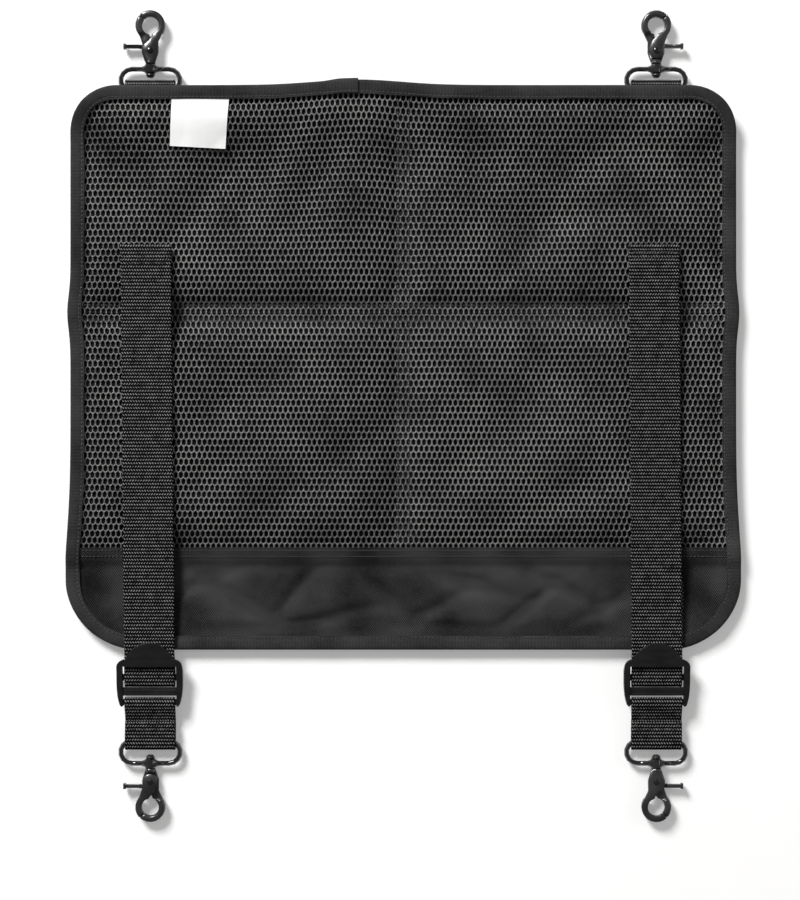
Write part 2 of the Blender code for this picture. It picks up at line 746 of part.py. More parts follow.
def buckle_mesh(workshop):
    """Buckle in its own frame: tip of the lifting tab at the origin, running towards -Y, mid-plane at z 0."""
    half = BUCKLE_WIDTH / 2
    inner = half - BUCKLE_ARM
    arm_top = BUCKLE_THICKNESS / 2
    start = -SHOULDER_START
    end = -BUCKLE_LENGTH
    tab_low = BUCKLE_HUMP
    outer = []
    for step in range(9):
        share = step / 8
        corner = ARM_CORNER * (abs(2 * share - 1) ** 6)
        bow = BUCKLE_BARREL * math.sin(math.pi * share) - BUCKLE_BARREL - corner
        outer.append((half + bow, blend(start, end, share)))
    arm = outer + [(inner, end), (inner, start)]
    steps = []
    right = plate(arm, -arm_top, arm_top, BUCKLE_EDGE, workshop)
    left = plate([(-x, y) for x, y in reversed(arm)], -arm_top, arm_top, BUCKLE_EDGE, workshop)
    steps.append(("UNION", left))
    for near, far in (GRIP_BAR, MIDDLE_BAR, END_BAR):
        low = (-inner - BUCKLE_ARM / 2, -far, -BAR_RADIUS)
        high = (inner + BUCKLE_ARM / 2, -near, BAR_RADIUS)
        steps.append(("UNION", block(low, high, BAR_RADIUS * 0.9, workshop)))
    tab_outline = arc((0.0, -TAB_RADIUS), TAB_RADIUS, 20, 160, 14)
    tab_outline += [(-half + 0.0016, start), (-half + 0.0012, -TAB_END)]
    tab_outline += [(half - 0.0012, -TAB_END), (half - 0.0016, start)]
    tab = plate(tab_outline, 0.0, TAB_THICKNESS, BUCKLE_EDGE, workshop)
    tilt = Matrix.Translation((0, -TAB_END, tab_low)) @ Matrix.Rotation(math.radians(TAB_RISE), 4, "X")
    tab.transform(tilt @ Matrix.Translation((0, TAB_END, 0)))
    steps.append(("UNION", tab))
    for sign in (-1, 1):
        xs = sorted((sign * (inner + 0.0005), sign * (half - 0.0017)))
        low = (xs[0], -TAB_END - 0.0013, -0.0007)
        high = (xs[1], start - 0.0009, tab_low + TAB_THICKNESS * 0.55)
        steps.append(("UNION", block(low, high, 0.0, workshop)))
    return combined("ladder_lock_buckle", right, steps, workshop)


# Swivel trigger snap hook. Its frame: pivot at the origin, claw towards +Y, leaf side up,
# thumb lever towards -X, mid-plane at z 0. The gate lies under the leaf at the hub.

HALF_HOOK = HOOK_THICKNESS / 2
LAYER_GAP = GAP / 2
JOINT_GAP_ANGLE = 1.6
WIRE_LINE = -PIVOT_TO_RING
COLLAR_Y = WIRE_LINE + BOSS_LENGTH / 2 + GAP
BUTTON_Y = WIRE_LINE - BOSS_LENGTH / 2 - GAP
BORE_RADIUS = RIVET_RADIUS + GAP


def ring_mesh(workshop):
    radius = RING_BAR_TO_WIRE / 2
    straight = (RING_WIDTH - RING_WIRE) / 2 - radius
    right = arc((straight, radius), radius, -90, 90, 7)
    left = arc((-straight, radius), radius, 90, 270, 7)
    points = right + [(BOSS_RADIUS, RING_BAR_TO_WIRE), (-BOSS_RADIUS, RING_BAR_TO_WIRE)] + left
    curve = bpy.data.curves.new("wire", "CURVE")
    curve.dimensions = "3D"
    curve.bevel_depth = WIRE_RADIUS
    curve.bevel_resolution = 1
    spline = curve.splines.new("POLY")
    spline.points.add(len(points) - 1)
    for point, (x, y) in zip(spline.points, points):
        point.co = (x, y, 0.0, 1.0)
    spline.use_cyclic_u = True
    piece = bpy.data.objects.new("wire", curve)
    workshop.objects.link(piece)
    bpy.context.view_layer.update()
    wire = evaluated_mesh(piece, "wire")
    bore = STUD_RADIUS + STUD_CLEARANCE
    high = RING_BAR_TO_WIRE + BOSS_LENGTH / 2
    low = RING_BAR_TO_WIRE - BOSS_LENGTH / 2
    edge = 0.0008
    boss = turned([(0.0, high), (BOSS_RADIUS - edge, high), (BOSS_RADIUS, high - edge),
                   (BOSS_RADIUS, low + edge), (BOSS_RADIUS - edge, low), (0.0, low)], 14, workshop)
    cheek = WIRE_RADIUS + BOSS_FLARE / 2
    reach = BOSS_RADIUS + BOSS_FLARE
    cheeks = turned([(0.0, reach), (WIRE_RADIUS + GAP, reach), (cheek, BOSS_RADIUS - edge),
                     (cheek, -BOSS_RADIUS + edge), (WIRE_RADIUS + GAP, -reach), (0.0, -reach)], 10, workshop,
                    axis="Z")
    cheeks.transform(Matrix.Translation((0, RING_BAR_TO_WIRE, 0)) @ Matrix.Rotation(math.pi / 2, 4, "Y"))
    hole = turned([(0.0, high + edge), (bore, high + edge), (bore, low - edge), (0.0, low - edge)], 12, workshop)
    return combined("swivel_eye", wire, [("UNION", cheeks), ("UNION", boss), ("DIFFERENCE", hole)], workshop)


def hook_body_mesh(workshop):
    claw = (0.0, PIVOT_TO_CLAW)
    joint = CLAW_JOINT_ANGLE - JOINT_GAP_ANGLE
    right = [(NECK_RADIUS, COLLAR_Y + 0.0012), (HUB_RADIUS, -0.0012), (HUB_RADIUS - 0.0001, 0.0070)]
    outer = arc(claw, CLAW_RADIUS, -40, joint, 11)
    inner = arc(claw, CLAW_BORE, joint, -76, 10)
    left = [(0.0010, PIVOT_TO_CLAW - CLAW_BORE - 0.0016), (-0.0012, 0.0078), (-0.0045, 0.0052),
            (-HUB_RADIUS, 0.0020), (-HUB_RADIUS, -0.0012), (-NECK_RADIUS, COLLAR_Y + 0.0012)]
    leaf = plate(right + outer + inner + left, LAYER_GAP, HALF_HOOK, EDGE_ROUNDING * 0.6, workshop)
    thick_outline = arc(claw, CLAW_RADIUS, -34, joint, 10) + arc(claw, CLAW_BORE, joint, -52, 9)
    thick = plate(thick_outline, -HALF_HOOK, HALF_HOOK, EDGE_ROUNDING, workshop)
    neck = turned([(0.0, -DISC_RADIUS - GAP * 2), (NECK_RADIUS - 0.0008, -DISC_RADIUS - GAP * 2),
                   (NECK_RADIUS, COLLAR_Y + 0.0012), (NECK_RADIUS, COLLAR_Y), (STUD_RADIUS, COLLAR_Y),
                   (STUD_RADIUS, BUTTON_Y), (BUTTON_RADIUS, BUTTON_Y), (BUTTON_RADIUS, BUTTON_Y - 0.0010),
                   (BUTTON_RADIUS * 0.62, BUTTON_Y - BUTTON_HEIGHT), (0.0, BUTTON_Y - BUTTON_HEIGHT)], 10, workshop)
    hole = turned([(0.0, HOOK_THICKNESS), (BORE_RADIUS, HOOK_THICKNESS), (BORE_RADIUS, -HOOK_THICKNESS),
                   (0.0, -HOOK_THICKNESS)], 10, workshop, axis="Z")
    return combined("hook_body", thick, [("UNION", leaf), ("UNION", neck), ("DIFFERENCE", hole)], workshop)


def gate_mesh(workshop):
    claw = (0.0, PIVOT_TO_CLAW)
    joint = CLAW_JOINT_ANGLE + JOINT_GAP_ANGLE
    outer = arc(claw, CLAW_RADIUS, joint, 222, 5)
    inner = arc(claw, CLAW_BORE, 258, joint, 7)
    hub_left = arc((0.0, 0.0), DISC_RADIUS, 160, 320, 7)
    right = [(DISC_RADIUS - 0.0006, 0.0026), (0.0030, 0.0078), (-0.0004, PIVOT_TO_CLAW - CLAW_BORE - 0.0012)]
    lower = plate(outer + [(-HUB_RADIUS, 0.0060)] + hub_left + right + inner, -HALF_HOOK, -LAYER_GAP,
                  EDGE_ROUNDING * 0.6, workshop)
    thick_outline = arc(claw, CLAW_RADIUS, joint, 219, 5) + arc(claw, CLAW_BORE, 226, joint, 5)
    thick = plate(thick_outline, -HALF_HOOK, HALF_HOOK, EDGE_ROUNDING, workshop)
    root = DISC_RADIUS - 0.0014
    lever_low = LEVER_OFFSET - LEVER_THICKNESS / 2
    shank = block((-DISC_RADIUS - 0.0024, lever_low, -HALF_HOOK + 0.0002), (-root, lever_low + LEVER_THICKNESS,
                  -LAYER_GAP - 0.0002), 0.0005, workshop)
    bar = block((-LEVER_LENGTH, lever_low + 0.0003, -HALF_HOOK + 0.0002),
                (-DISC_RADIUS - 0.0020, lever_low + LEVER_THICKNESS - 0.0003, HALF_HOOK - 0.0010), 0.0007, workshop)
    tip = block((-LEVER_LENGTH - 0.0003, LEVER_OFFSET - LEVER_TIP / 2, -HALF_HOOK + 0.0001),
                (-LEVER_LENGTH + 0.0015, LEVER_OFFSET + LEVER_TIP / 2, HALF_HOOK - 0.0009), 0.0006, workshop)
    hole = turned([(0.0, HOOK_THICKNESS), (BORE_RADIUS, HOOK_THICKNESS), (BORE_RADIUS, -HOOK_THICKNESS),
                   (0.0, -HOOK_THICKNESS)], 10, workshop, axis="Z")
    pocket = turned([(0.0, 0.0005), (SPRING_POCKET, 0.0005), (SPRING_POCKET, POCKET_FLOOR), (0.0, POCKET_FLOOR)], 10,
                    workshop, axis="Z")
    steps = [("UNION", lower), ("UNION", shank), ("UNION", bar), ("UNION", tip), ("DIFFERENCE", hole),
             ("DIFFERENCE", pocket)]
    return combined("gate", thick, steps, workshop)


def rivet_mesh(workshop):
    top = HALF_HOOK + GAP
    dome = [(RIVET_HEAD_RADIUS * math.sin(angle), RIVET_HEAD_HEIGHT * math.cos(angle))
            for angle in (0.0, 0.6, 1.15, math.pi / 2)]
    upper = [(radius, top + height) for radius, height in dome]
    lower = [(radius, -top - height) for radius, height in reversed(dome)]
    profile = upper + [(RIVET_RADIUS, top), (RIVET_RADIUS, -top)] + lower
    mesh = turned(profile, 8, workshop, axis="Z")
    mesh.shade_smooth()
    mesh.set_sharp_from_angle(angle=math.radians(40))
    return mesh


def spring_mesh(workshop):
    curve = bpy.data.curves.new("spring", "CURVE")
    curve.dimensions = "3D"
    curve.bevel_depth = SPRING_WIRE / 2
    curve.bevel_resolution = 0
    curve.use_fill_caps = True
    spline = curve.splines.new("POLY")
    per_turn = 8
    count = SPRING_TURNS * per_turn
    spline.points.add(count)
    start = POCKET_FLOOR + GAP + SPRING_WIRE / 2
    pitch = SPRING_WIRE + GAP / 2
    for index, point in enumerate(spline.points):
        angle = 2 * math.pi * index / per_turn
        height = start + pitch * index / per_turn
        point.co = (SPRING_RADIUS * math.cos(angle), SPRING_RADIUS * math.sin(angle), height, 1.0)
    piece = bpy.data.objects.new("spring", curve)
    workshop.objects.link(piece)
    bpy.context.view_layer.update()
    return evaluated_mesh(piece, "torsion_spring")


POCKET_FLOOR = -HALF_HOOK + 0.0006


def with_material(mesh, material):
    mesh.materials.clear()
    mesh.materials.append(material)
    return mesh


def build_hooks(group, workshop, materials):
    shapes = {
        "swivel_eye": with_material(ring_mesh(workshop), materials["hook_metal"]),
        "hook_body": with_material(hook_body_mesh(workshop), materials["hook_metal"]),
        "gate": with_material(gate_mesh(workshop), materials["hook_metal"]),
        "pivot_rivet": with_material(rivet_mesh(workshop), materials["rivet_metal"]),
        "gate_spring": with_material(spring_mesh(workshop), materials["spring_steel"]),
    }
    corners = (("upper_left", -1, 1, False), ("upper_right", 1, 1, True),
               ("lower_left", -1, -1, True), ("lower_right", 1, -1, False))
    for corner, side, up, flipped in corners:
        bar_y = TOP_BAR_Y if up > 0 else BOTTOM_BAR_Y
        turn = Matrix.Rotation(0.0 if up > 0 else math.pi, 4, "Z")
        eye_frame = Matrix.Translation((side * HOOK_X, bar_y, HOOK_LIFT)) @ turn
        roll = Matrix.Rotation(math.pi if flipped else 0.0, 4, "Y")
        pivot = Matrix.Translation((0, RING_BAR_TO_WIRE + PIVOT_TO_RING, 0))
        for shape, mesh in shapes.items():
            piece = add_object(f"{shape}_{corner}", mesh, group)
            piece.matrix_world = eye_frame if shape == "swivel_eye" else eye_frame @ pivot @ roll


def build_buckles(group, workshop, materials):
    mesh = with_material(buckle_mesh(workshop), materials["plastic"])
    for name, side in (("left", -1), ("right", 1)):
        piece = add_object(f"ladder_lock_buckle_{name}", mesh, group)
        piece.location = (side * HOOK_X, BUCKLE_TIP_Y, BUCKLE_LIFT)


def main():
    clear_scene()
    group = new_collection("car_seat_protector")
    workshop = new_collection("workshop")
    materials = {
        "mesh": new_material("spacer_mesh", (0.030, 0.030, 0.032), 0.75),
        "hem": new_material("twill_fabric", (0.028, 0.028, 0.030), 0.85),
        "backing": new_material("backing_fabric", (0.022, 0.022, 0.024), 0.90),
        "foam": new_material("foam", (0.045, 0.045, 0.045), 0.95),
        "binding": new_material("binding_tape", (0.026, 0.026, 0.028), 0.80),
        "label": new_material("woven_label", (0.90, 0.90, 0.90), 0.80),
        "webbing": new_material("webbing", (0.024, 0.024, 0.026), 0.80),
        "plastic": new_material("buckle_plastic", (0.018, 0.018, 0.020), 0.45),
        "hook_metal": new_material("black_metal", (0.030, 0.030, 0.034), 0.22, 0.9),
        "rivet_metal": new_material("rivet_metal", (0.045, 0.045, 0.050), 0.20, 0.9),
        "spring_steel": new_material("spring_steel", (0.50, 0.50, 0.52), 0.30, 1.0),
    }
    build_mat(group, materials)
    build_binding(group, materials)
    build_label(group, materials)
    for name, side in (("left", -1), ("right", 1)):
        build_strap(f"strap_{name}", side, group, materials["webbing"])
        build_lower_tab(f"lower_tab_{name}", side, group, materials["webbing"])
        build_upper_tab(f"upper_tab_{name}", side, group, materials["webbing"])
    build_buckles(group, workshop, materials)
    build_hooks(group, workshop, materials)
    bpy.context.view_layer.update()


main()
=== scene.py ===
import math
import random
from math import cos, pi, radians, sin

import bmesh
import bpy
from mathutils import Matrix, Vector


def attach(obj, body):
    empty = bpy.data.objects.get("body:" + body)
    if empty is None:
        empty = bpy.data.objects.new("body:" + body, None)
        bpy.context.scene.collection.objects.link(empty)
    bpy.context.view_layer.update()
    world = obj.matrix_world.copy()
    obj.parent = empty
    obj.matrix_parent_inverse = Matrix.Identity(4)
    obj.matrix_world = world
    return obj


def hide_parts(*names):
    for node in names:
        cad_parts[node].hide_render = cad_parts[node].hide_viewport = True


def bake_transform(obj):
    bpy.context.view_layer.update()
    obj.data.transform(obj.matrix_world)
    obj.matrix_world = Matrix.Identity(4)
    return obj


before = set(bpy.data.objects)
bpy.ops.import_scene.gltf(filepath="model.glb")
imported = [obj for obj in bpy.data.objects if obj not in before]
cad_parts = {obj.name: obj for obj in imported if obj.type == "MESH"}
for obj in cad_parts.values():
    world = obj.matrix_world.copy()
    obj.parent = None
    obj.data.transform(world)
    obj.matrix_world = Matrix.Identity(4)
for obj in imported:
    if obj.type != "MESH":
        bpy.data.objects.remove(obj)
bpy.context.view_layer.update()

# Sizes shared with the solids, in metres
GAP = 0.0003
HALF_WIDTH = 0.2520
MAT_TOP = 0.2496
MAT_BOTTOM = -0.1769
TOP_RADIUS = 0.036
BOTTOM_RADIUS = 0.052
FOLD_LINE = 0.07835
BINDING_WIDTH = 0.0106
BINDING_THICKNESS = 0.0008
BINDING_EASE = 0.0005
PAD_INSET = BINDING_WIDTH + 0.0035
HEM_TOP = MAT_BOTTOM + 0.0775
HEM_LAP = 0.0085
HEM_DROP = 0.007
PAD_BOTTOM = HEM_TOP + 0.0035
CROSS_CHANNEL = 0.0150
CENTRE_CHANNEL = 0.0130
STACK = 0.0013
FACE_THICKNESS = 0.0020
HEM_THICKNESS = 0.0010
PAD_CROWN = 0.0066
HOOK_X = 0.1916
WEBBING_WIDTH = 0.0380
WEBBING_THICKNESS = 0.0014
JOIN_X = -0.034
LAP = 0.014
LAP_CLIMB = 0.012

# Soft shapes: (height, middle, spread) of the outline's bulges, and (height, zone) of the rising rims
FOLD_BULGE = (0.0024, FOLD_LINE, 0.018)
HEM_BULGE = (0.0038, MAT_BOTTOM + 0.058, 0.050)
TOP_CREST = (0.0042, -0.034, 0.046)
SIDE_RISE = (0.0045, 0.034)
TOP_RISE = (0.0108, 0.062)
HEM_RISE = (0.0040, 0.050)
PAD_POWER = 8
PAD_RIPPLE, PAD_RIPPLE_PITCH = 0.0007, 0.085
CHANNEL_DIP, CHANNEL_FADE = 0.0008, 0.004
HEM_FOLD, HEM_FOLD_PITCH = 0.0014, 0.118
HEM_RAMP = 0.008
DIP_GAIN = 2.5
ROOT_BODY = "mat"


# Heights and outline of the mat, as in the solids

def smooth_step(value):
    value = min(max(value, 0.0), 1.0)
    return value * value * (3.0 - 2.0 * value)


def mix(low, high, share):
    return low + (high - low) * share


def corner_of(y):
    """The corner that y belongs to: radius, edge and direction in y, and the middle of its arc."""
    radius, edge, up = (TOP_RADIUS, MAT_TOP, 1.0) if y > FOLD_LINE else (BOTTOM_RADIUS, MAT_BOTTOM, -1.0)
    return radius, edge, up, HALF_WIDTH - radius, edge - up * radius


def round_corner(x, y):
    radius, _, up, middle_x, middle_y = corner_of(y)
    across = (abs(x) - middle_x) / radius
    along = up * (y - middle_y) / radius
    if across <= 0.0 or along <= 0.0:
        return x, y
    if across >= along:
        angle = pi / 4 * along / across
    else:
        angle = pi / 2 - pi / 4 * across / along
    reach = radius * max(across, along)
    return (math.copysign(middle_x + reach * cos(angle), x),
            middle_y + up * reach * sin(angle))


def square_corner(x, y):
    """The point that round_corner moves to (x, y)."""
    _, _, up, middle_x, middle_y = corner_of(y)
    across = abs(x) - middle_x
    along = up * (y - middle_y)
    if across <= 0.0 or along <= 0.0:
        return x, y
    reach = math.hypot(across, along)
    share = math.atan2(along, across) / (pi / 4)
    across, along = (reach, reach * share) if share <= 1.0 else (reach * (2.0 - share), reach)
    return math.copysign(middle_x + across, x), middle_y + up * along


def bell(value, height, middle, spread):
    return height * math.exp(-((value - middle) / spread) ** 2)


def place(x, y):
    x, y = round_corner(x, y)
    bulge = bell(y, *FOLD_BULGE) + bell(y, *HEM_BULGE)
    upper_share = smooth_step((y - FOLD_LINE) / (MAT_TOP - FOLD_LINE))
    return x * (1.0 + bulge / HALF_WIDTH), y + bell(x, *TOP_CREST) * upper_share


def rise(distance, zone):
    return smooth_step(1.0 - distance / zone)


def lift(x, y):
    rims = ((HALF_WIDTH - abs(x), SIDE_RISE), (MAT_TOP - y, TOP_RISE), (y - MAT_BOTTOM, HEM_RISE))
    return sum((height * rise(distance, zone)) ** 4 for distance, (height, zone) in rims) ** 0.25


def pad_profile(value, low, high):
    share = (2.0 * value - low - high) / (high - low)
    return max(0.0, 1.0 - abs(share) ** PAD_POWER)


def pad_height(x, y):
    across = pad_profile(abs(x), CENTRE_CHANNEL / 2, HALF_WIDTH - PAD_INSET)
    if y > FOLD_LINE:
        along = pad_profile(y, FOLD_LINE + CROSS_CHANNEL / 2, MAT_TOP - PAD_INSET)
    else:
        along = pad_profile(y, PAD_BOTTOM, FOLD_LINE - CROSS_CHANNEL / 2)
    ripple = PAD_RIPPLE * sin(2.0 * pi * (x + y) / PAD_RIPPLE_PITCH)
    return (PAD_CROWN + ripple) * across * along


# Soft dips of the mesh face and creases of the hem: (x, y, direction in degrees, length, width, depth)
DIPS = [(-0.150, 0.165, 52, 0.080, 0.016, 0.0016), (-0.105, 0.185, 58, 0.075, 0.014, 0.0014),
        (-0.060, 0.190, 62, 0.070, 0.015, 0.0012), (-0.195, 0.190, 60, 0.060, 0.015, 0.0012),
        (0.060, 0.185, -58, 0.080, 0.016, 0.0016), (0.110, 0.150, 8, 0.085, 0.016, 0.0014),
        (0.150, 0.200, 40, 0.060, 0.016, 0.0012), (0.085, 0.120, 40, 0.050, 0.013, 0.0011),
        (-0.120, 0.020, 35, 0.070, 0.017, 0.0010), (-0.060, -0.040, 38, 0.070, 0.016, 0.0011),
        (-0.165, -0.055, 28, 0.060, 0.015, 0.0010), (0.060, -0.020, 42, 0.080, 0.017, 0.0012),
        (0.120, -0.062, 24, 0.070, 0.014, 0.0011), (0.120, 0.030, -30, 0.070, 0.017, 0.0011),
        (0.205, 0.010, 80, 0.060, 0.010, 0.0009), (-0.224, 0.010, 85, 0.080, 0.010, 0.0009)]
CREASES = [(-0.150, -0.126, 24, 0.036, 0.0050, 0.0012), (-0.118, -0.143, -32, 0.045, 0.0060, 0.0014),
           (-0.082, -0.134, 52, 0.034, 0.0050, 0.0012), (-0.055, -0.152, 14, 0.040, 0.0048, 0.0011),
           (-0.020, -0.132, -40, 0.036, 0.0060, 0.0012), (0.022, -0.146, 30, 0.042, 0.0052, 0.0012),
           (0.052, -0.128, -16, 0.040, 0.0055, 0.0012), (0.090, -0.147, 40, 0.038, 0.0050, 0.0013),
           (0.118, -0.130, -28, 0.038, 0.0056, 0.0012), (0.148, -0.146, 28, 0.030, 0.0050, 0.0011),
           (-0.090, -0.160, 4, 0.050, 0.0040, 0.0009), (0.060, -0.162, -4, 0.060, 0.0040, 0.0009)]
GROOVE_REACH = (2.2, 2.6)


def grooves(x, y, rows):
    depth = 0.0
    for middle_x, middle_y, turn, length, width, amount in rows:
        dx, dy = x - middle_x, y - middle_y
        cosine, sine = cos(radians(turn)), sin(radians(turn))
        along = (dx * cosine + dy * sine) / length
        across = (-dx * sine + dy * cosine) / width
        if abs(along) < GROOVE_REACH[0] and abs(across) < GROOVE_REACH[1]:
            depth += amount * math.exp(-along * along - across * across)
    return depth


def face_top(x, y):
    return lift(x, y) + STACK + FACE_THICKNESS + pad_height(x, y)


def soft_top(x, y):
    padded = min(pad_height(x, y) / PAD_CROWN, 1.0)
    channel = CHANNEL_DIP * (1.0 - smooth_step(padded * 6.0)) * (1.0 - rise(HALF_WIDTH - abs(x), 0.020))
    channel *= smooth_step((MAT_TOP - 0.016 - y) / CHANNEL_FADE)
    channel *= smooth_step((y - HEM_TOP - 0.002) / CHANNEL_FADE)
    return face_top(x, y) - DIP_GAIN * grooves(x, y, DIPS) * padded - channel


def hem_low(x, y):
    flat_top = HEM_TOP - HEM_LAP - HEM_DROP
    flat_bottom = MAT_BOTTOM + BINDING_WIDTH
    over_mesh = smooth_step((y - flat_top) / (HEM_DROP - GAP))
    share = min(max((y - flat_bottom) / (flat_top - flat_bottom), 0.0), 1.0)
    window = sin(pi * share) ** 2 * (1.0 - rise(HALF_WIDTH - abs(x), SIDE_RISE[1]))
    fold = 0.5 + 0.5 * sin(2.0 * pi * (x - 0.6 * y) / HEM_FOLD_PITCH)
    return lift(x, y) + STACK + over_mesh * (FACE_THICKNESS + GAP) + HEM_FOLD * window * fold


def hem_top(x, y):
    return hem_low(x, y) + HEM_THICKNESS


def cover_top(x, y):
    if y <= HEM_TOP:
        return hem_top(x, y)
    near_hem = 1.0 - smooth_step((y - HEM_TOP - GAP) / HEM_RAMP)
    return lift(x, y) + STACK + FACE_THICKNESS + near_hem * (GAP + HEM_THICKNESS)


# Materials

FLOOR_GLOW = 0.235


class Value:
    """A node's output. Sums and products of it are further nodes."""

    def __init__(self, look, socket):
        self.look, self.socket = look, socket

    def __add__(self, other):
        return self.look.math("ADD", self, other)

    def __sub__(self, other):
        return self.look.math("SUBTRACT", self, other)

    def __mul__(self, other):
        return self.look.math("MULTIPLY", self, other)


class Look:
    """A new material, with the nodes that feed its shader."""

    def __init__(self, name, colour, roughness, metallic=0.0, sheen=0.0, coat=0.0, specular=0.5):
        self.material = bpy.data.materials.new(name)
        self.material.use_nodes = True
        self.tree = self.material.node_tree
        self.shader = self.tree.nodes["Principled BSDF"]
        values = {"Base Color": (*colour, 1.0), "Roughness": roughness, "Metallic": metallic,
                  "Sheen Weight": sheen, "Sheen Roughness": 0.4, "Coat Weight": coat, "Coat Roughness": 0.08,
                  "Specular IOR Level": specular}
        for key, value in values.items():
            self.shader.inputs[key].default_value = value

    def node(self, kind, inputs, output=0, **settings):
        node = self.tree.nodes.new(kind)
        for key, value in settings.items():
            setattr(node, key, value)
        for key, value in inputs.items():
            if isinstance(value, Value):
                self.tree.links.new(value.socket, node.inputs[key])
            else:
                node.inputs[key].default_value = value
        return Value(self, node.outputs[output])

    def math(self, operation, first, second=0.0):
        return self.node("ShaderNodeMath", {0: first, 1: second}, operation=operation)

    def noise(self, scale, detail=3.0, stretch=(1.0, 1.0, 1.0)):
        source = self.node("ShaderNodeTexCoord", {}, "Object")
        mapped = self.node("ShaderNodeMapping", {"Vector": source, "Scale": stretch})
        return self.node("ShaderNodeTexNoise", {"Vector": mapped, "Scale": scale, "Detail": detail}, "Fac")

    def axes(self, coordinates):
        source = self.node("ShaderNodeTexCoord", {}, coordinates)
        return [self.node("ShaderNodeSeparateXYZ", {"Vector": source}, axis) for axis in (0, 1)]

    def wave(self, value, pitch):
        """A sine of the given pitch, from 0 to 1."""
        return self.math("SINE", value * (2.0 * pi / pitch)) * 0.5 + 0.5

    def feed(self, name, value):
        self.tree.links.new(value.socket, self.shader.inputs[name])

    def colour(self, value, low, high, dark, light):
        share = self.node("ShaderNodeMapRange", {"Value": value, "From Min": low, "From Max": high})
        self.feed("Base Color", self.node("ShaderNodeMix", {0: share, 6: (*dark, 1.0), 7: (*light, 1.0)}, 2,
                                          data_type="RGBA"))

    def roughness(self, value, low, high):
        self.feed("Roughness", self.node("ShaderNodeMapRange", {"Value": value, "To Min": low, "To Max": high}))

    def bump(self, height, distance):
        self.feed("Normal", self.node("ShaderNodeBump", {"Height": height, "Distance": distance, "Strength": 1.0}))


def mesh_thread_material():
    look = Look("mesh_thread", (0.06, 0.06, 0.062), 0.36, sheen=0.1)
    fine = look.noise(900.0, 2.0)
    # Fine fibre noise, gathered into slow patches, runs the black strands from near black up to a pale grey: the
    # pale end is painted highlight, and the slow patches are painted sheen.
    look.colour(fine * (look.noise(28.0) + 0.45), 0.26, 0.66, (0.011, 0.011, 0.012), (0.205, 0.202, 0.199))
    look.roughness(fine, 0.34, 0.55)
    look.bump(look.noise(2600.0, 1.0), 0.00008)
    return look.material


def ground_and_hole_shade_material():
    look = Look("spacer_ground_and_hole_shade", (0.006, 0.006, 0.006), 0.85, specular=0.2)
    threads = look.noise(700.0, 2.0, stretch=(1.0, 0.35, 1.0))
    # The spacer's inner layer, darkened to near black: partly its own black, partly painted shade deep in the
    # net's holes.
    look.colour(threads, 0.45, 0.80, (0.0010, 0.0010, 0.0010), (0.012, 0.012, 0.012))
    look.bump(threads, 0.0003)
    return look.material


def cloth_material(name, dark, light, pitch, turn, sheen, relief=0.00016):
    """Fine diagonal weave under a slow change of tone, which is painted sheen laid out in random patches."""
    look = Look(name, light, 0.82, sheen=sheen, specular=0.08)
    x, y = look.axes("Object")
    cosine, sine = cos(radians(turn)), sin(radians(turn))
    along, across = x * cosine + y * sine, y * cosine - x * sine
    weave = look.wave(across, pitch) * 0.7 + look.wave(along, pitch * 1.4) * 0.3
    mottled = weave * (look.noise(420.0) + 0.5)
    # The slow noise sets most of the tone: painted sheen, in random patches.
    look.colour(mottled + look.noise(20.0) * 2.6, 1.25, 2.15, dark, light)
    look.bump(mottled, relief)
    return look.material


def webbing_material():
    """Rows of short ribs that lean one way and then the other, from the strip's own length and width."""
    look = Look("webbing_weave", (0.03, 0.03, 0.031), 0.62, specular=0.06)
    row_pitch, rib_pitch = 0.0026, 0.0020
    width, length = look.axes("UV")
    zigzag = look.math("PINGPONG", length, row_pitch)
    ribs = look.wave(width + zigzag * 0.8, rib_pitch)
    grain = look.noise(900.0, 2.0)
    relief = (look.wave(length, row_pitch) + 0.12) * ribs
    # Colour follows the ribs' relief and the fibre grain: painted highlight on the rib crests, up to a pale grey,
    # and painted shade between the ribs.
    rib_glint_and_shade = relief * (grain + look.noise(160.0, 2.0))
    look.colour(rib_glint_and_shade, 0.46, 1.02, (0.0012, 0.0012, 0.0014), (0.290, 0.286, 0.283))
    look.roughness(grain, 0.52, 0.74)
    look.bump(relief, 0.00035)
    return look.material


def binding_material():
    look = Look("binding_weave", (0.03, 0.03, 0.031), 0.66, sheen=0.05, specular=0.1)
    width, length = look.axes("UV")
    weave = look.wave(length, 0.0011) * 0.75 + look.wave(width, 0.0009) * 0.25
    toned = weave * (look.noise(500.0) + 0.5) + look.noise(30.0) * 1.4
    look.colour(toned, 0.6, 1.8, (0.004, 0.004, 0.0045), (0.052, 0.0515, 0.051))
    look.bump(weave, 0.00014)
    return look.material


def thread_material(name, colour):
    look = Look(name, colour, 0.5, sheen=0.2)
    twist = look.wave(look.axes("Object")[0], 0.0007)
    look.colour(twist + look.noise(600.0), 0.3, 1.6, tuple(channel * 0.55 for channel in colour), colour)
    look.bump(twist, 0.0001)
    return look.material


def label_material():
    look = Look("label_satin", (0.86, 0.86, 0.85), 0.55, sheen=0.1, specular=0.3)
    x, y = look.axes("Object")
    weave = look.wave(x, 0.0006) * look.wave(y, 0.0008)
    look.colour(weave * 0.5 + look.noise(120.0), 0.2, 1.2, (0.80, 0.80, 0.79), (0.90, 0.90, 0.89))
    look.bump(weave, 0.00006)
    return look.material


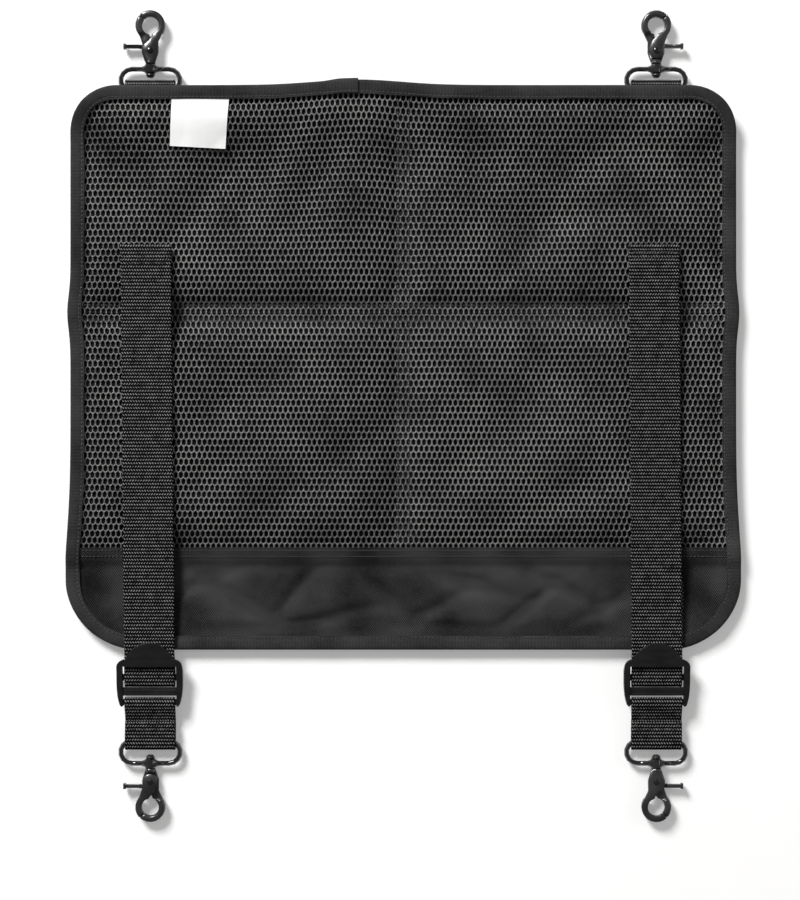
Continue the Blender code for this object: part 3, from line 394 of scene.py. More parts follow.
def plastic_material():
    look = Look("buckle_moulding", (0.017, 0.017, 0.018), 0.34, specular=0.32)
    scuffs = look.noise(60.0, 5.0, stretch=(1.0, 3.0, 1.0))
    look.colour(scuffs, 0.35, 0.75, (0.005, 0.005, 0.0055), (0.011, 0.011, 0.0115))
    look.roughness(scuffs, 0.28, 0.46)
    look.bump(look.noise(1800.0, 2.0), 0.00003)
    return look.material


def metal_material(name, dark, light, rough_low, rough_high, metallic=0.85, coat=0.4):
    look = Look(name, light, rough_low, metallic=metallic, coat=coat, specular=0.6)
    blotches = look.noise(260.0, 4.0)
    look.colour(look.noise(45.0, 5.0), 0.35, 0.7, dark, light)
    look.roughness(blotches, rough_low, rough_high)
    look.bump(blotches, 0.00006)
    return look.material


def floor_material():
    """White card. It is lit like the object, and what a lens or a mirror sees of it is lifted to white."""
    look = Look("floor_card", (0.80, 0.795, 0.79), 0.95, specular=0.0)
    look.colour(look.noise(30.0, 2.0), 0.3, 0.7, (0.795, 0.79, 0.785), (0.805, 0.80, 0.795))
    camera, glossy, through = (look.node("ShaderNodeLightPath", {}, f"Is {ray} Ray")
                               for ray in ("Camera", "Glossy", "Transmission"))
    seen = look.math("MAXIMUM", look.math("MAXIMUM", camera, glossy), through)
    glow = look.node("ShaderNodeEmission", {"Color": (1.0, 1.0, 1.0, 1.0), "Strength": seen * FLOOR_GLOW})
    total = look.node("ShaderNodeAddShader", {0: Value(look, look.shader.outputs[0]), 1: glow})
    look.tree.links.new(total.socket, look.tree.nodes["Material Output"].inputs["Surface"])
    return look.material


# Mesh builders

def finish_piece(name, tool, material, body=ROOT_BODY, angle=None):
    """Turns the tool into a smooth piece on the body. Without a body, the piece is left on none."""
    bmesh.ops.recalc_face_normals(tool, faces=tool.faces)
    mesh = bpy.data.meshes.new(name)
    tool.to_mesh(mesh)
    tool.free()
    mesh.materials.append(material)
    mesh.shade_smooth()
    if angle is not None:
        mesh.set_sharp_from_angle(angle=radians(angle))
    piece = bpy.data.objects.new(name, mesh)
    bpy.context.scene.collection.objects.link(piece)
    if body:
        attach(piece, body)
    return piece


def lines_between(low, high, step):
    count = max(2, round((high - low) / step))
    return [mix(low, high, index / count) for index in range(count + 1)]


def join_rows(tool, first, second):
    for i in range(len(first) - 1):
        tool.faces.new((first[i], first[i + 1], second[i + 1], second[i]))


def fill_skins(tool, skins):
    """Faces over each grid of verts, and round the rim where there are two grids."""
    for skin in skins:
        for row, above in zip(skin, skin[1:]):
            join_rows(tool, row, above)
    if len(skins) == 2:
        under, over = skins
        join_rows(tool, under[0], over[0])
        join_rows(tool, under[-1], over[-1])
        for end in (0, -1):
            join_rows(tool, [row[end] for row in under], [row[end] for row in over])


def layer(name, x_lines, y_lines, low, top, material):
    """A thin closed sheet between two height rules, bent like the solids. Without low it is one skin."""
    tool = bmesh.new()
    skins = [[[tool.verts.new((*place(x, y), height(x, y))) for x in x_lines] for y in y_lines]
             for height in (low, top) if height]
    fill_skins(tool, skins)
    return finish_piece(name, tool, material, angle=60)


# Spacer mesh: a net of six-sided cells over a dark ground, whose near-black is partly its own colour and partly
# painted shade of the holes

PITCH_X = 0.00395
PITCH_Y = 0.00495
POINT_Y = PITCH_Y * 0.66
SIDE_Y = PITCH_Y - POINT_Y
STRAND = 0.00062
NET_DROP = 0.0017
CELL = [(0.0, POINT_Y), (PITCH_X / 2, SIDE_Y), (PITCH_X / 2, -SIDE_Y),
        (0.0, -POINT_Y), (-PITCH_X / 2, -SIDE_Y), (-PITCH_X / 2, SIDE_Y)]
CELL_WALL = ((STRAND * 0.5, 0.00010), (STRAND * 0.85, 0.00055), (STRAND, NET_DROP))


def net_piece(name, x_low, x_high, y_low, y_high, material, seed):
    """Cells share their outer rims. Each has a hole whose wall slopes down to the ground."""
    rng = random.Random(seed)
    tool = bmesh.new()
    shared = {}

    def clamped(x, y):
        x, y = square_corner(x, y)
        return min(max(x, x_low), x_high), min(max(y, y_low), y_high)

    def outside(x, y):
        return math.dist(square_corner(x, y), clamped(x, y)) > PITCH_X / 3

    def rim_vert(x, y):
        key = (round(x / PITCH_X * 4), round(y / PITCH_Y * 50))
        if key not in shared:
            jitter = random.Random(hash(key) % 100003)
            across = jitter.uniform(-1.0, 1.0) * 0.00022
            along = jitter.uniform(-1.0, 1.0) * 0.00026
            bump = jitter.uniform(-0.00010, 0.00016)
            spot = clamped(x + across, y + along)
            shared[key] = tool.verts.new((*place(*spot), soft_top(*spot) + bump))
        return shared[key]

    for j in range(math.floor(y_low / PITCH_Y) - 1, math.ceil(y_high / PITCH_Y) + 2):
        for i in range(math.floor(x_low / PITCH_X) - 1, math.ceil(x_high / PITCH_X) + 2):
            cx = (i + 0.5 * (j % 2)) * PITCH_X
            cy = j * PITCH_Y
            if outside(cx, cy):
                continue
            rings = [[rim_vert(cx + dx, cy + dy) for dx, dy in CELL]]
            squeeze = rng.uniform(0.90, 1.08)
            for inset, drop in CELL_WALL:
                scale_x = 1.0 - inset * squeeze / (PITCH_X / 2)
                scale_y = 1.0 - inset * 1.15 / POINT_Y
                spots = [clamped(cx + dx * scale_x, cy + dy * scale_y) for dx, dy in CELL]
                rings.append([tool.verts.new((*place(*spot), soft_top(*spot) - drop)) for spot in spots])
            for outer, inner in zip(rings, rings[1:]):
                for k in range(len(CELL)):
                    nearby = (k + 1) % len(CELL)
                    corners = (outer[k], outer[nearby], inner[nearby], inner[k])
                    if len(set(corners)) == 4:
                        tool.faces.new(corners)
    bmesh.ops.dissolve_degenerate(tool, dist=0.00002, edges=tool.edges)
    return finish_piece(name, tool, material)


def build_mesh_face(materials):
    margin = BINDING_WIDTH - 0.0030
    edge_x = HALF_WIDTH - margin
    low_y = HEM_TOP - 0.003
    high_y = MAT_TOP - margin
    xs = lines_between(-edge_x, edge_x, 0.0030)
    ys = lines_between(low_y, high_y, 0.0030)
    ground = layer("mesh_ground", xs, ys, None, lambda x, y: soft_top(x, y) - NET_DROP - 0.0001,
                   materials["ground"])
    nets = []
    for row_name, y0, y1 in (("lower", low_y, FOLD_LINE), ("upper", FOLD_LINE, high_y)):
        for side_name, x0, x1 in (("left", -edge_x, 0.0), ("right", 0.0, edge_x)):
            net = net_piece(f"mesh_net_{row_name}_{side_name}", x0, x1, y0, y1, materials["net"],
                            len(nets) + 1)
            nets.append(net)
    for piece in [ground] + nets:
        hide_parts("mesh_face")


def pad_low(x, y):
    return lift(x, y) + STACK


def pad_top(x, y):
    return pad_low(x, y) + 0.0002 + (soft_top(x, y) - face_top(x, y) + pad_height(x, y)) * 0.98


def build_pads(materials):
    inset = 0.001
    for row_name, y0, y1 in (("lower", PAD_BOTTOM, FOLD_LINE - CROSS_CHANNEL / 2),
                             ("upper", FOLD_LINE + CROSS_CHANNEL / 2, MAT_TOP - PAD_INSET)):
        for side_name, side in (("left", -1.0), ("right", 1.0)):
            ends = sorted([side * (CENTRE_CHANNEL / 2 + inset), side * (HALF_WIDTH - PAD_INSET - inset)])
            pad = layer(f"quilted_pad_{row_name}_{side_name}", lines_between(*ends, 0.006),
                        lines_between(y0 + inset, y1 - inset, 0.006), pad_low, pad_top, materials["ground"])
            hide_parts(f"foam_pad_{row_name}_{side_name}")


def build_base_and_hem(materials):
    inset = BINDING_THICKNESS + 0.0006
    edge_x, edge_y = HALF_WIDTH - inset, MAT_BOTTOM + inset
    base = layer("backing_cloth", lines_between(-edge_x, edge_x, 0.0045),
                 lines_between(edge_y, MAT_TOP - inset, 0.0045),
                 lift, lambda x, y: lift(x, y) + 0.0010, materials["backing"])
    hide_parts("base_sheet")
    hem = layer("hem_cloth", lines_between(-edge_x, edge_x, 0.0022), lines_between(edge_y, HEM_TOP, 0.0018),
                hem_skin_low, hem_skin_top, materials["hem"])
    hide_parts("hem_panel")


CREASE_GAIN = 2.8


def crease(x, y):
    window = smooth_step((HEM_TOP - 0.011 - y) / 0.012) * smooth_step((y - MAT_BOTTOM - 0.012) / 0.012)
    return grooves(x, y, CREASES) * window


def hem_puff(x, y):
    """The loose middle of the hem stands a little proud between the straps."""
    window = smooth_step((0.168 - abs(x)) / 0.014)
    window *= smooth_step((HEM_TOP - 0.010 - y) / 0.014) * smooth_step((y - MAT_BOTTOM - 0.011) / 0.014)
    sway = 0.75 + 0.25 * sin(2.0 * pi * (x + 1.3 * y) / 0.090)
    return 0.0032 * window * sway


def hem_skin_low(x, y):
    return max(hem_low(x, y) + hem_puff(x, y) - CREASE_GAIN * crease(x, y), lift(x, y) + 0.0011)


def hem_skin_top(x, y):
    folded = smooth_step((y - HEM_TOP + 0.0072) / 0.0008)
    step = 0.0004 * (1.0 - folded) * smooth_step((y - HEM_TOP + 0.020) / 0.010)
    return hem_skin_low(x, y) + HEM_THICKNESS - step


# Strips: webbing and binding, lofted along a line with their own length and width as UV

def strip(name, sections, along, across, material, body=ROOT_BODY):
    tool = bmesh.new()
    uv_layer = tool.loops.layers.uv.new("UVMap")
    rings = [[tool.verts.new(point) for point in section] for section in sections]
    count = len(rings[0])
    for index, (before, after) in enumerate(zip(rings, rings[1:])):
        for k in range(count):
            nearby = (k + 1) % count
            face = tool.faces.new((before[k], before[nearby], after[nearby], after[k]))
            far = across[k + 1] if k + 1 < count else across[k] + (across[1] - across[0])
            spots = [(across[k], along[index]), (far, along[index]), (far, along[index + 1]),
                     (across[k], along[index + 1])]
            for loop, spot in zip(face.loops, spots):
                loop[uv_layer].uv = spot
    tool.faces.new(rings[0])
    tool.faces.new(rings[-1])
    return finish_piece(name, tool, material, body=body, angle=70)


def smoothed(points, rounds):
    for _ in range(rounds):
        inner = [tuple((a + 2.0 * b + c) / 4.0 for a, b, c in zip(before, here, after))
                 for before, here, after in zip(points, points[1:], points[2:])]
        points = [points[0]] + inner + [points[-1]]
    return points


def resampled(points, step):
    result = [points[0]]
    for start, end in zip(points, points[1:]):
        length = math.dist(start, end)
        parts = max(1, round(length / step))
        result += [tuple(mix(a, b, part / parts) for a, b in zip(start, end))
                   for part in range(1, parts + 1)]
    return result


HALF_PROFILE = [(-0.5, 0.30), (-0.485, 0.62), (-0.455, 0.50), (-0.42, 0.42), (-0.25, 0.47), (0.0, 0.5),
                (0.25, 0.47), (0.42, 0.42), (0.455, 0.50), (0.485, 0.62), (0.5, 0.30)]
WANDER = ((0.00022, 0.013), (0.00016, 0.0047))


def webbing(name, route, replaced, material, body=ROOT_BODY, seed=1):
    """A woven strip with thicker edges. The route is its middle line, and +X is its width."""
    rng = random.Random(seed)
    points = smoothed(resampled(route, 0.0012), 2)
    length = 0.0
    along = []
    sections = []
    phases = [rng.uniform(0.0, 6.28) for _ in WANDER]
    for index, point in enumerate(points):
        before = points[max(index - 1, 0)]
        after = points[min(index + 1, len(points) - 1)]
        if index:
            length += math.dist(points[index - 1], point)
        along.append(length)
        dy, dz = after[1] - before[1], after[2] - before[2]
        size = math.hypot(dy, dz) or 1.0
        wander = sum(height * sin(length / reach + phase) for (height, reach), phase in zip(WANDER, phases))
        section = []
        for side, profile in ((1.0, HALF_PROFILE), (-1.0, HALF_PROFILE[::-1])):
            for share, thick in profile:
                edge = wander * (1.0 if share > 0.3 else -1.0 if share < -0.3 else 0.0)
                reach = side * (WEBBING_THICKNESS * thick * 0.92)
                section.append((point[0] + share * WEBBING_WIDTH + edge * 0.6,
                                point[1] - dz / size * reach, point[2] + dy / size * reach))
        sections.append(section)
    across = [turn * WEBBING_WIDTH + share * WEBBING_WIDTH for turn in (0.0, 1.0) for share, _ in HALF_PROFILE]
    piece = strip(name, sections, along, across, material, body)
    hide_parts(replaced)
    return piece


# The buckles' bars, the rings and the routes of the webbing, as in the solids

TIP_Y = MAT_BOTTOM + 0.0040
GRIP_Y = TIP_Y - 0.0245
GRIP_HALF = 0.0025
END_BAR_Y = TIP_Y - 0.0433
END_HALF = 0.0023
RING_Y = 0.2460
BAR_RADIUS = 0.0015
BAR_WRAP = BAR_RADIUS + GAP + WEBBING_THICKNESS / 2
RING_WRAP = 0.0019 + GAP + WEBBING_THICKNESS / 2
PLY = WEBBING_THICKNESS + GAP
STRAP_TOP_Y = MAT_TOP - 0.1200
TAIL_LENGTH = 0.072
BUCKLE_Z = 0.0080
HOOK_Z = 0.0048
STRAP_LOOP = 0.0032
ROUTE_STEP = 0.004
STRAP_LEAN, TAIL_LEAN = 0.0026, 0.0016
TAB_CUT_Y = END_BAR_Y - 0.0149


def half_turn(y, z, radius, out, start, steps):
    """Half a circle in y and z. It bulges to out in y, and begins above (1) or below (-1) its middle."""
    angles = [pi * part / steps for part in range(steps + 1)]
    return [(y + out * radius * sin(angle), z + start * radius * cos(angle)) for angle in angles]


def taut_over(points):
    hull = []
    for point in points:
        while len(hull) > 1:
            (y0, z0), (y1, z1) = hull[-2], hull[-1]
            if (y1 - y0) * (point[1] - z0) - (z1 - z0) * (point[0] - y0) > 0.0:
                break
            hull.pop()
        hull.append(point)
    return hull


def height_below(centre_x, y):
    heights = []
    for step in range(-2, 3):
        x = centre_x + step * WEBBING_WIDTH / 4
        for near_y in (y - 0.002, y, y + 0.002):
            inside_y = max(near_y, MAT_BOTTOM)
            top = hem_top(x, inside_y) if inside_y < HEM_TOP else face_top(x, inside_y)
            if inside_y < HEM_TOP + HEM_RAMP:
                top = max(top, cover_top(x, inside_y))
            if inside_y < MAT_BOTTOM + BINDING_WIDTH:
                top += GAP + BINDING_THICKNESS
            heights.append(top)
    return max(heights)


def level_at(line, y):
    for (y0, z0), (y1, z1) in zip(line, line[1:]):
        if y1 <= y <= y0:
            return mix(z0, z1, (y0 - y) / (y0 - y1))
    return None


def strap_route(side):
    centre = side * HOOK_X
    over_bar = (GRIP_Y - GRIP_HALF + BAR_RADIUS, BUCKLE_Z + BAR_WRAP)
    under_bar = (over_bar[0], BUCKLE_Z - BAR_WRAP)
    over_near = (GRIP_Y + GRIP_HALF - BAR_RADIUS / 2, over_bar[1])
    under_near = (over_near[0], under_bar[1])
    tail_top_y = GRIP_Y + TAIL_LENGTH
    tail_ys = [tail_top_y - ROUTE_STEP * index
               for index in range(int((tail_top_y - MAT_BOTTOM) / ROUTE_STEP) + 2)]
    rest = GAP + WEBBING_THICKNESS / 2
    tail_line = taut_over([(y, height_below(centre, y) + rest) for y in tail_ys] + [under_near]) + [under_bar]
    fold_y = STRAP_TOP_Y - 0.013
    fold_z = max(height_below(centre, fold_y + 0.0045 * index) for index in range(4)) + rest
    crests = [(fold_y, fold_z + PLY)]
    for index in range(1, int((fold_y - MAT_BOTTOM) / ROUTE_STEP) + 2):
        y = fold_y - ROUTE_STEP * index
        below_z = height_below(centre, y)
        tail_z = level_at(tail_line, y)
        if tail_z is not None or y > tail_top_y - ROUTE_STEP:
            below_z = max(below_z, (tail_z or 0.0) + WEBBING_THICKNESS / 2)
        crests.append((y, below_z + rest))
    main_line = taut_over(crests + [over_near]) + [over_bar]
    turn_y = STRAP_TOP_Y - WEBBING_THICKNESS - GAP / 2
    turn = half_turn(turn_y, fold_z + PLY / 2, PLY / 2, 1.0, -1.0, 6)
    bar_turn = half_turn(over_bar[0] - STRAP_LOOP, BUCKLE_Z, BAR_WRAP, -1.0, 1.0, 10)
    line = [(fold_y, fold_z)] + turn + main_line + bar_turn + list(reversed(tail_line))
    bar_index = 1 + len(turn) + len(main_line)
    route = []
    for index, (y, z) in enumerate(line):
        lean = -STRAP_LEAN * max(0.0, (y - TIP_Y) / (STRAP_TOP_Y - TIP_Y))
        if index > bar_index:
            lean = side * TAIL_LEAN * max(0.0, (y - GRIP_Y) / TAIL_LENGTH)
        route.append((centre + lean, y, z))
    return route


def lower_tab_route(side):
    ring_turn_y = -RING_Y - 0.0034
    bar_turn_y = END_BAR_Y + END_HALF - BAR_RADIUS
    lap_y = TAB_CUT_Y - 0.008
    ring_top, ring_low = HOOK_Z + RING_WRAP, HOOK_Z - RING_WRAP
    slope = (BUCKLE_Z - BAR_WRAP - ring_low) / (bar_turn_y - ring_turn_y)
    lap_z, cut_z = (ring_low + slope * (y - ring_turn_y) + PLY + GAP for y in (lap_y, TAB_CUT_Y))
    line = [(TAB_CUT_Y, max(ring_top, cut_z + PLY)), (TAB_CUT_Y - 0.007, ring_top)]
    line += half_turn(ring_turn_y, HOOK_Z, RING_WRAP, -1.0, 1.0, 8)
    line += half_turn(bar_turn_y, BUCKLE_Z, BAR_WRAP, 1.0, -1.0, 8)
    line += [(END_BAR_Y - END_HALF, BUCKLE_Z + BAR_WRAP), (TAB_CUT_Y + 0.001, cut_z), (lap_y, lap_z)]
    return [(side * HOOK_X, y, z) for y, z in line]


def upper_tab_route(side):
    centre = side * HOOK_X
    sewn_y = RING_Y - 0.026
    ys = [sewn_y + (RING_Y - sewn_y) * step / 10 for step in range(11)]
    half = WEBBING_WIDTH / 2

    def upper(y):
        sewn = min(lift(centre + offset, y) for offset in (-half, 0.0, half)) - GAP - WEBBING_THICKNESS / 2
        return mix(HOOK_Z + RING_WRAP, sewn, smooth_step((RING_Y - 0.0075 - y) / 0.006))

    def lower(y):
        return mix(HOOK_Z - RING_WRAP, upper(y) - PLY, smooth_step((RING_Y - 0.004 - y) / 0.010))

    line = [(y, upper(y)) for y in ys]
    line += half_turn(RING_Y + 0.0056, HOOK_Z, RING_WRAP, 1.0, 1.0, 8)
    line += [(y, lower(y)) for y in reversed(ys)]
    return [(centre, y, z) for y, z in line]


# Edge binding, folded over the rim, its end lapping over its start on the top edge

TAPE_DEPTHS = [BINDING_WIDTH, 0.0098, 0.0090, 0.0080, 0.0055, 0.0030, 0.0014]
STITCH_DEPTH = TAPE_DEPTHS[2]


def inset_point(x, y, depth):
    radius, edge, up, middle_x, middle_y = corner_of(y)
    across = abs(x) - middle_x
    along = up * (y - middle_y)
    share = (radius - depth) / radius
    if across > 0.0 and along > 0.0:
        return math.copysign(middle_x + across * share, x), middle_y + up * along * share
    if across >= radius - GAP:
        return math.copysign(HALF_WIDTH - depth, x), y
    return x, edge - up * depth


def binding_path():
    """Rows of x, y, climb and length: the mat's edge, clockwise from under the lap, and up onto its start."""
    step = 0.0030
    lap_start = JOIN_X - LAP
    path = [(x, MAT_TOP, 0.0) for x in lines_between(lap_start, HALF_WIDTH, step)]
    path += [(HALF_WIDTH, y, 0.0) for y in reversed(lines_between(MAT_BOTTOM, MAT_TOP, step)[:-1])]
    path += [(x, MAT_BOTTOM, 0.0) for x in reversed(lines_between(-HALF_WIDTH, HALF_WIDTH, step)[:-1])]
    path += [(-HALF_WIDTH, y, 0.0) for y in lines_between(MAT_BOTTOM, MAT_TOP, step)[1:]]
    for x in lines_between(-HALF_WIDTH, JOIN_X, step)[1:]:
        share = min(max((x - lap_start + LAP_CLIMB) / (LAP_CLIMB - GAP), 0.0), 1.0)
        path.append((x, MAT_TOP, share * (BINDING_THICKNESS + GAP)))
    rows = []
    length = 0.0
    last = Vector(place(*path[0][:2]))
    for x, y, climb in path:
        here = Vector(place(x, y))
        length += (here - last).length
        last = here
        rows.append((x, y, climb, length))
    return rows


def pucker(length, depth_share):
    """Small gathers of the tape at its stitches."""
    slow = sin(length / 0.0205) * sin(length / 0.0091 + 1.0)
    quick = sin(2.0 * pi * length / 0.0032)
    return 0.00012 * slow + 0.00007 * quick * depth_share


def binding_point(x, y, depth, climb, length, over=True):
    spot = inset_point(x, y, depth)
    share = depth / BINDING_WIDTH
    swell = 0.0002 * sin(pi * min(share, 1.0)) + pucker(length, share)
    if over:
        height = cover_top(*spot) + BINDING_EASE + climb + BINDING_THICKNESS + swell
    else:
        height = lift(*spot) - BINDING_EASE - climb - BINDING_THICKNESS
    return Vector((*place(*spot), height))


def build_binding(materials):
    sections = []
    along = []
    for x, y, climb, length in binding_path():
        along.append(length)
        width = 0.00022 * sin(length / 0.017) + 0.00015 * sin(length / 0.0063 + 2.0)
        outer = [binding_point(x, y, depth + width * depth / BINDING_WIDTH, climb, length)
                 for depth in TAPE_DEPTHS]
        outer[2].z -= 0.00028
        low = [binding_point(x, y, depth, climb, length, over=False) for depth in reversed(TAPE_DEPTHS)]
        low[-3].z += 0.0002
        edge_top, edge_low = outer[-1].z, low[0].z
        nose = []
        for part in range(1, 6):
            angle = pi * part / 6
            spot = inset_point(x, y, TAPE_DEPTHS[-1] * (1.0 - sin(angle)) - climb)
            nose.append(Vector((*place(*spot), mix(edge_top, edge_low, 0.5 - 0.5 * cos(angle)))))
        deep, near = inset_point(x, y, BINDING_WIDTH), inset_point(x, y, 0.0012)
        inner = [Vector((*place(*deep), lift(*deep) - GAP - climb)),
                 Vector((*place(*near), mix(edge_low, edge_top, 0.15))),
                 Vector((*place(*near), mix(edge_low, edge_top, 0.85))),
                 Vector((*place(*deep), cover_top(*deep) + GAP + climb))]
        sections.append(outer + nose + low + inner)
    across = [0.0]
    middle = sections[len(sections) // 3]
    for first, second in zip(middle, middle[1:]):
        across.append(across[-1] + (second - first).length)
    piece = strip("binding_tape", sections, along, across, materials["binding"])
    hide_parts("edge_binding")


# Stitches: short threads that dive into the cloth at both ends

THREAD_ARC = ((0.0, -0.6, 0.5), (0.2, 0.45, 0.95), (0.5, 0.75, 1.0), (0.8, 0.45, 0.95), (1.0, -0.6, 0.5))
THREAD_SIDES = 5
UP, DOWN = (0.0, 0.0, 1.0), (0.0, 0.0, -1.0)


def stitches(name, seams, material, thick=0.00032, pitch=0.0032, gap=0.0008):
    """Each seam is a list of points on the cloth's face, with the way out of the cloth."""
    tool = bmesh.new()
    for seam, out in seams:
        lengths = [0.0]
        for first, second in zip(seam, seam[1:]):
            lengths.append(lengths[-1] + (Vector(second) - Vector(first)).length)
        position = 0
        for index in range(int(lengths[-1] / pitch)):
            start = index * pitch + gap / 2
            end = (index + 1) * pitch - gap / 2
            spine = []
            for share, climb, _ in THREAD_ARC:
                distance = mix(start, end, share)
                while position < len(lengths) - 2 and lengths[position + 1] < distance:
                    position += 1
                span = lengths[position + 1] - lengths[position] or 1.0
                share_here = (distance - lengths[position]) / span
                point = Vector(seam[position]).lerp(Vector(seam[position + 1]), share_here)
                spine.append(point + Vector(out) * climb * thick)
            forward = (spine[-1] - spine[0]).normalized()
            side = forward.cross(Vector(out)).normalized()
            up = side.cross(forward)
            rings = []
            for point, (_, _, size) in zip(spine, THREAD_ARC):
                ring = []
                for k in range(THREAD_SIDES):
                    angle = 2.0 * pi * k / THREAD_SIDES
                    shift = side * cos(angle) + up * sin(angle) * 0.8
                    ring.append(tool.verts.new(point + shift * thick * size))
                rings.append(ring)
            for before, after in zip(rings, rings[1:]):
                for k in range(THREAD_SIDES):
                    nearby = (k + 1) % THREAD_SIDES
                    tool.faces.new((before[k], before[nearby], after[nearby], after[k]))
            tool.faces.new(rings[0])
            tool.faces.new(rings[-1])
            position = max(position - 2, 0)
    return finish_piece(name, tool, material)


def seam_on(height, xs, ys):
    """A seam on a height rule, with the thread a little above it."""
    return [(*place(x, y), height(x, y) + 0.0001) for x in xs for y in ys], UP


def build_stitches(materials):
    thread = materials["thread"]
    over, under = [], []
    for x, y, climb, length in binding_path():
        over.append(binding_point(x, y, STITCH_DEPTH, climb, length) - Vector((0.0, 0.0, 0.00020)))
        under.append(binding_point(x, y, STITCH_DEPTH, climb, length, over=False) + Vector((0.0, 0.0, 0.0001)))
    stitches("binding_stitches", [(over, UP), (under, DOWN)], thread)

    edge_x = HALF_WIDTH - BINDING_WIDTH - 0.001
    across = CROSS_CHANNEL / 2 - 0.0016
    down = CENTRE_CHANNEL / 2 - 0.0022
    xs = lines_between(-edge_x, edge_x, 0.004)
    ys = lines_between(HEM_TOP + 0.001, MAT_TOP - BINDING_WIDTH - 0.001, 0.004)
    quilting = [seam_on(soft_top, xs, [FOLD_LINE + offset]) for offset in (-across, across)]
    quilting += [seam_on(soft_top, [x], ys) for x in (-down, down)]
    stitches("quilting_stitches", quilting, thread)
    xs = lines_between(-edge_x, edge_x, 0.003)
    hem = [seam_on(hem_skin_top, xs, [HEM_TOP - inset]) for inset in (0.0022, 0.0068)]
    stitches("hem_stitches", hem, thread, pitch=0.0029)


def strap_seams(route, rows, inset=0.0030):
    """Cross rows and side rows of a sewn box on the top of a strip that follows the route."""
    thread_lift = WEBBING_THICKNESS * 0.47
    half = WEBBING_WIDTH / 2 - inset

    def top_at(y):
        spots = []
        for (x0, y0, z0), (x1, y1, z1) in zip(route, route[1:]):
            if min(y0, y1) <= y <= max(y0, y1) and abs(y1 - y0) > 1e-7:
                share = (y - y0) / (y1 - y0)
                spots.append((mix(x0, x1, share), mix(z0, z1, share) + thread_lift))
        return max(spots, key=lambda spot: spot[1])

    seams = []
    for y in rows:
        x, z = top_at(y)
        seams.append(([(x - half + 2 * half * k / 12, y, z) for k in range(13)], UP))
    for edge in (-half, half):
        line = [(top_at(y)[0] + edge, y, top_at(y)[1]) for y in lines_between(rows[0], rows[-1], 0.002)]
        seams.append((line, UP))
    return seams


def build_webbing(materials):
    def sew(name, seams):
        stitches(name, seams, materials["thread"], thick=0.00036, pitch=0.0026)

    def follow(tab):
        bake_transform(tab)

    cloth = materials["webbing"]
    for side_name, side, top_rows in (("left", -1.0, (0.1198, 0.1155)), ("right", 1.0, (0.1238, 0.1190))):
        route = strap_route(side)
        webbing(f"strap_webbing_{side_name}", route, f"strap_{side_name}", cloth, seed=3 + int(side))
        sew(f"strap_stitches_{side_name}", strap_seams(route, top_rows))
        route = lower_tab_route(side)
        tab = webbing(f"lower_tab_webbing_{side_name}", route, f"lower_tab_{side_name}", cloth,
                      body=None, seed=7 + int(side))
        follow(tab)
        rows = (TAB_CUT_Y - 0.0012, TAB_CUT_Y - 0.0052)
        sew(f"lower_tab_stitches_{side_name}", strap_seams(route, rows))
        tab = webbing(f"upper_tab_webbing_{side_name}", upper_tab_route(side), f"upper_tab_{side_name}", cloth,
                      body=None, seed=11 + int(side))
        follow(tab)


# The bare label, sewn under the binding and a little askew

LABEL_CORNERS = ((-0.1760, 0.2036), (-0.1342, 0.2016), (-0.1312, 0.2412), (-0.1745, 0.2412))
LABEL_STEPS = 24
LABEL_THICKNESS = 0.00035


def build_label(materials):
    (ax, ay), (bx, by), (cx, cy), (dx, dy) = LABEL_CORNERS
    tool = bmesh.new()

    def vert(u, v, skin):
        x = mix(mix(ax, bx, u), mix(dx, cx, u), v)
        y = mix(mix(ay, by, u), mix(dy, cy, u), v)
        curl = 0.0010 * (1.0 - v) ** 3 * (0.4 + 0.6 * abs(2.0 * u - 1.0))
        tuck = 0.0010 * smooth_step((v - 0.90) / 0.10)
        height = max(soft_top(x, y), face_top(x, y) - 0.0008) + 0.0007 + curl - tuck + skin
        return tool.verts.new((*place(x, y), height))

    shares = [step / LABEL_STEPS for step in range(LABEL_STEPS + 1)]
    fill_skins(tool, [[[vert(u, v, skin) for u in shares] for v in shares] for skin in (0.0, LABEL_THICKNESS)])
    piece = finish_piece("label_cloth", tool, materials["label"], angle=50)
    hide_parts("label")


# Ladder-lock buckle: side arms with sloping shoulders, a lifting tab, three bars and a ridge.
# Outlines are (u, t): across the strap from its middle, and down from the tab's tip.

ARM = [(0.0193, 0.0104), (0.0222, 0.0118), (0.0239, 0.0134), (0.0247, 0.0155), (0.0250, 0.0200), (0.0250, 0.0290),
       (0.0248, 0.0335), (0.0242, 0.0390), (0.0233, 0.0430), (0.0225, 0.0455), (0.0214, 0.0466), (0.0203, 0.0464),
       (0.0203, 0.0300), (0.0203, 0.0160), (0.0185, 0.0158)]
# Half width, near and far edge, low and top face
CROSSPIECES = ((0.0212, 0.0220, 0.0270, 0.0065, 0.0095), (0.0212, 0.0320, 0.0382, 0.0060, 0.0103),
               (0.0212, 0.0410, 0.0456, 0.0065, 0.0095), (0.0196, 0.0338, 0.0346, 0.0100, 0.01055))
TAB_RADIUS = 0.0205
TAB_DEPTH = 0.0152
TAB_HALF_FOOT = 0.0204
TAB_FOOT = 0.0160
TAB_THICKNESS = 0.0024


def arm_low(t):
    return mix(0.0102, 0.0053, smooth_step((t - 0.0150) / 0.0060))


def arm_top(t):
    return mix(0.0143, 0.0107, smooth_step((t - 0.0145) / 0.0070))


def tab_top(t):
    return 0.0159 - (0.0159 - 0.0141) * t / TAB_FOOT


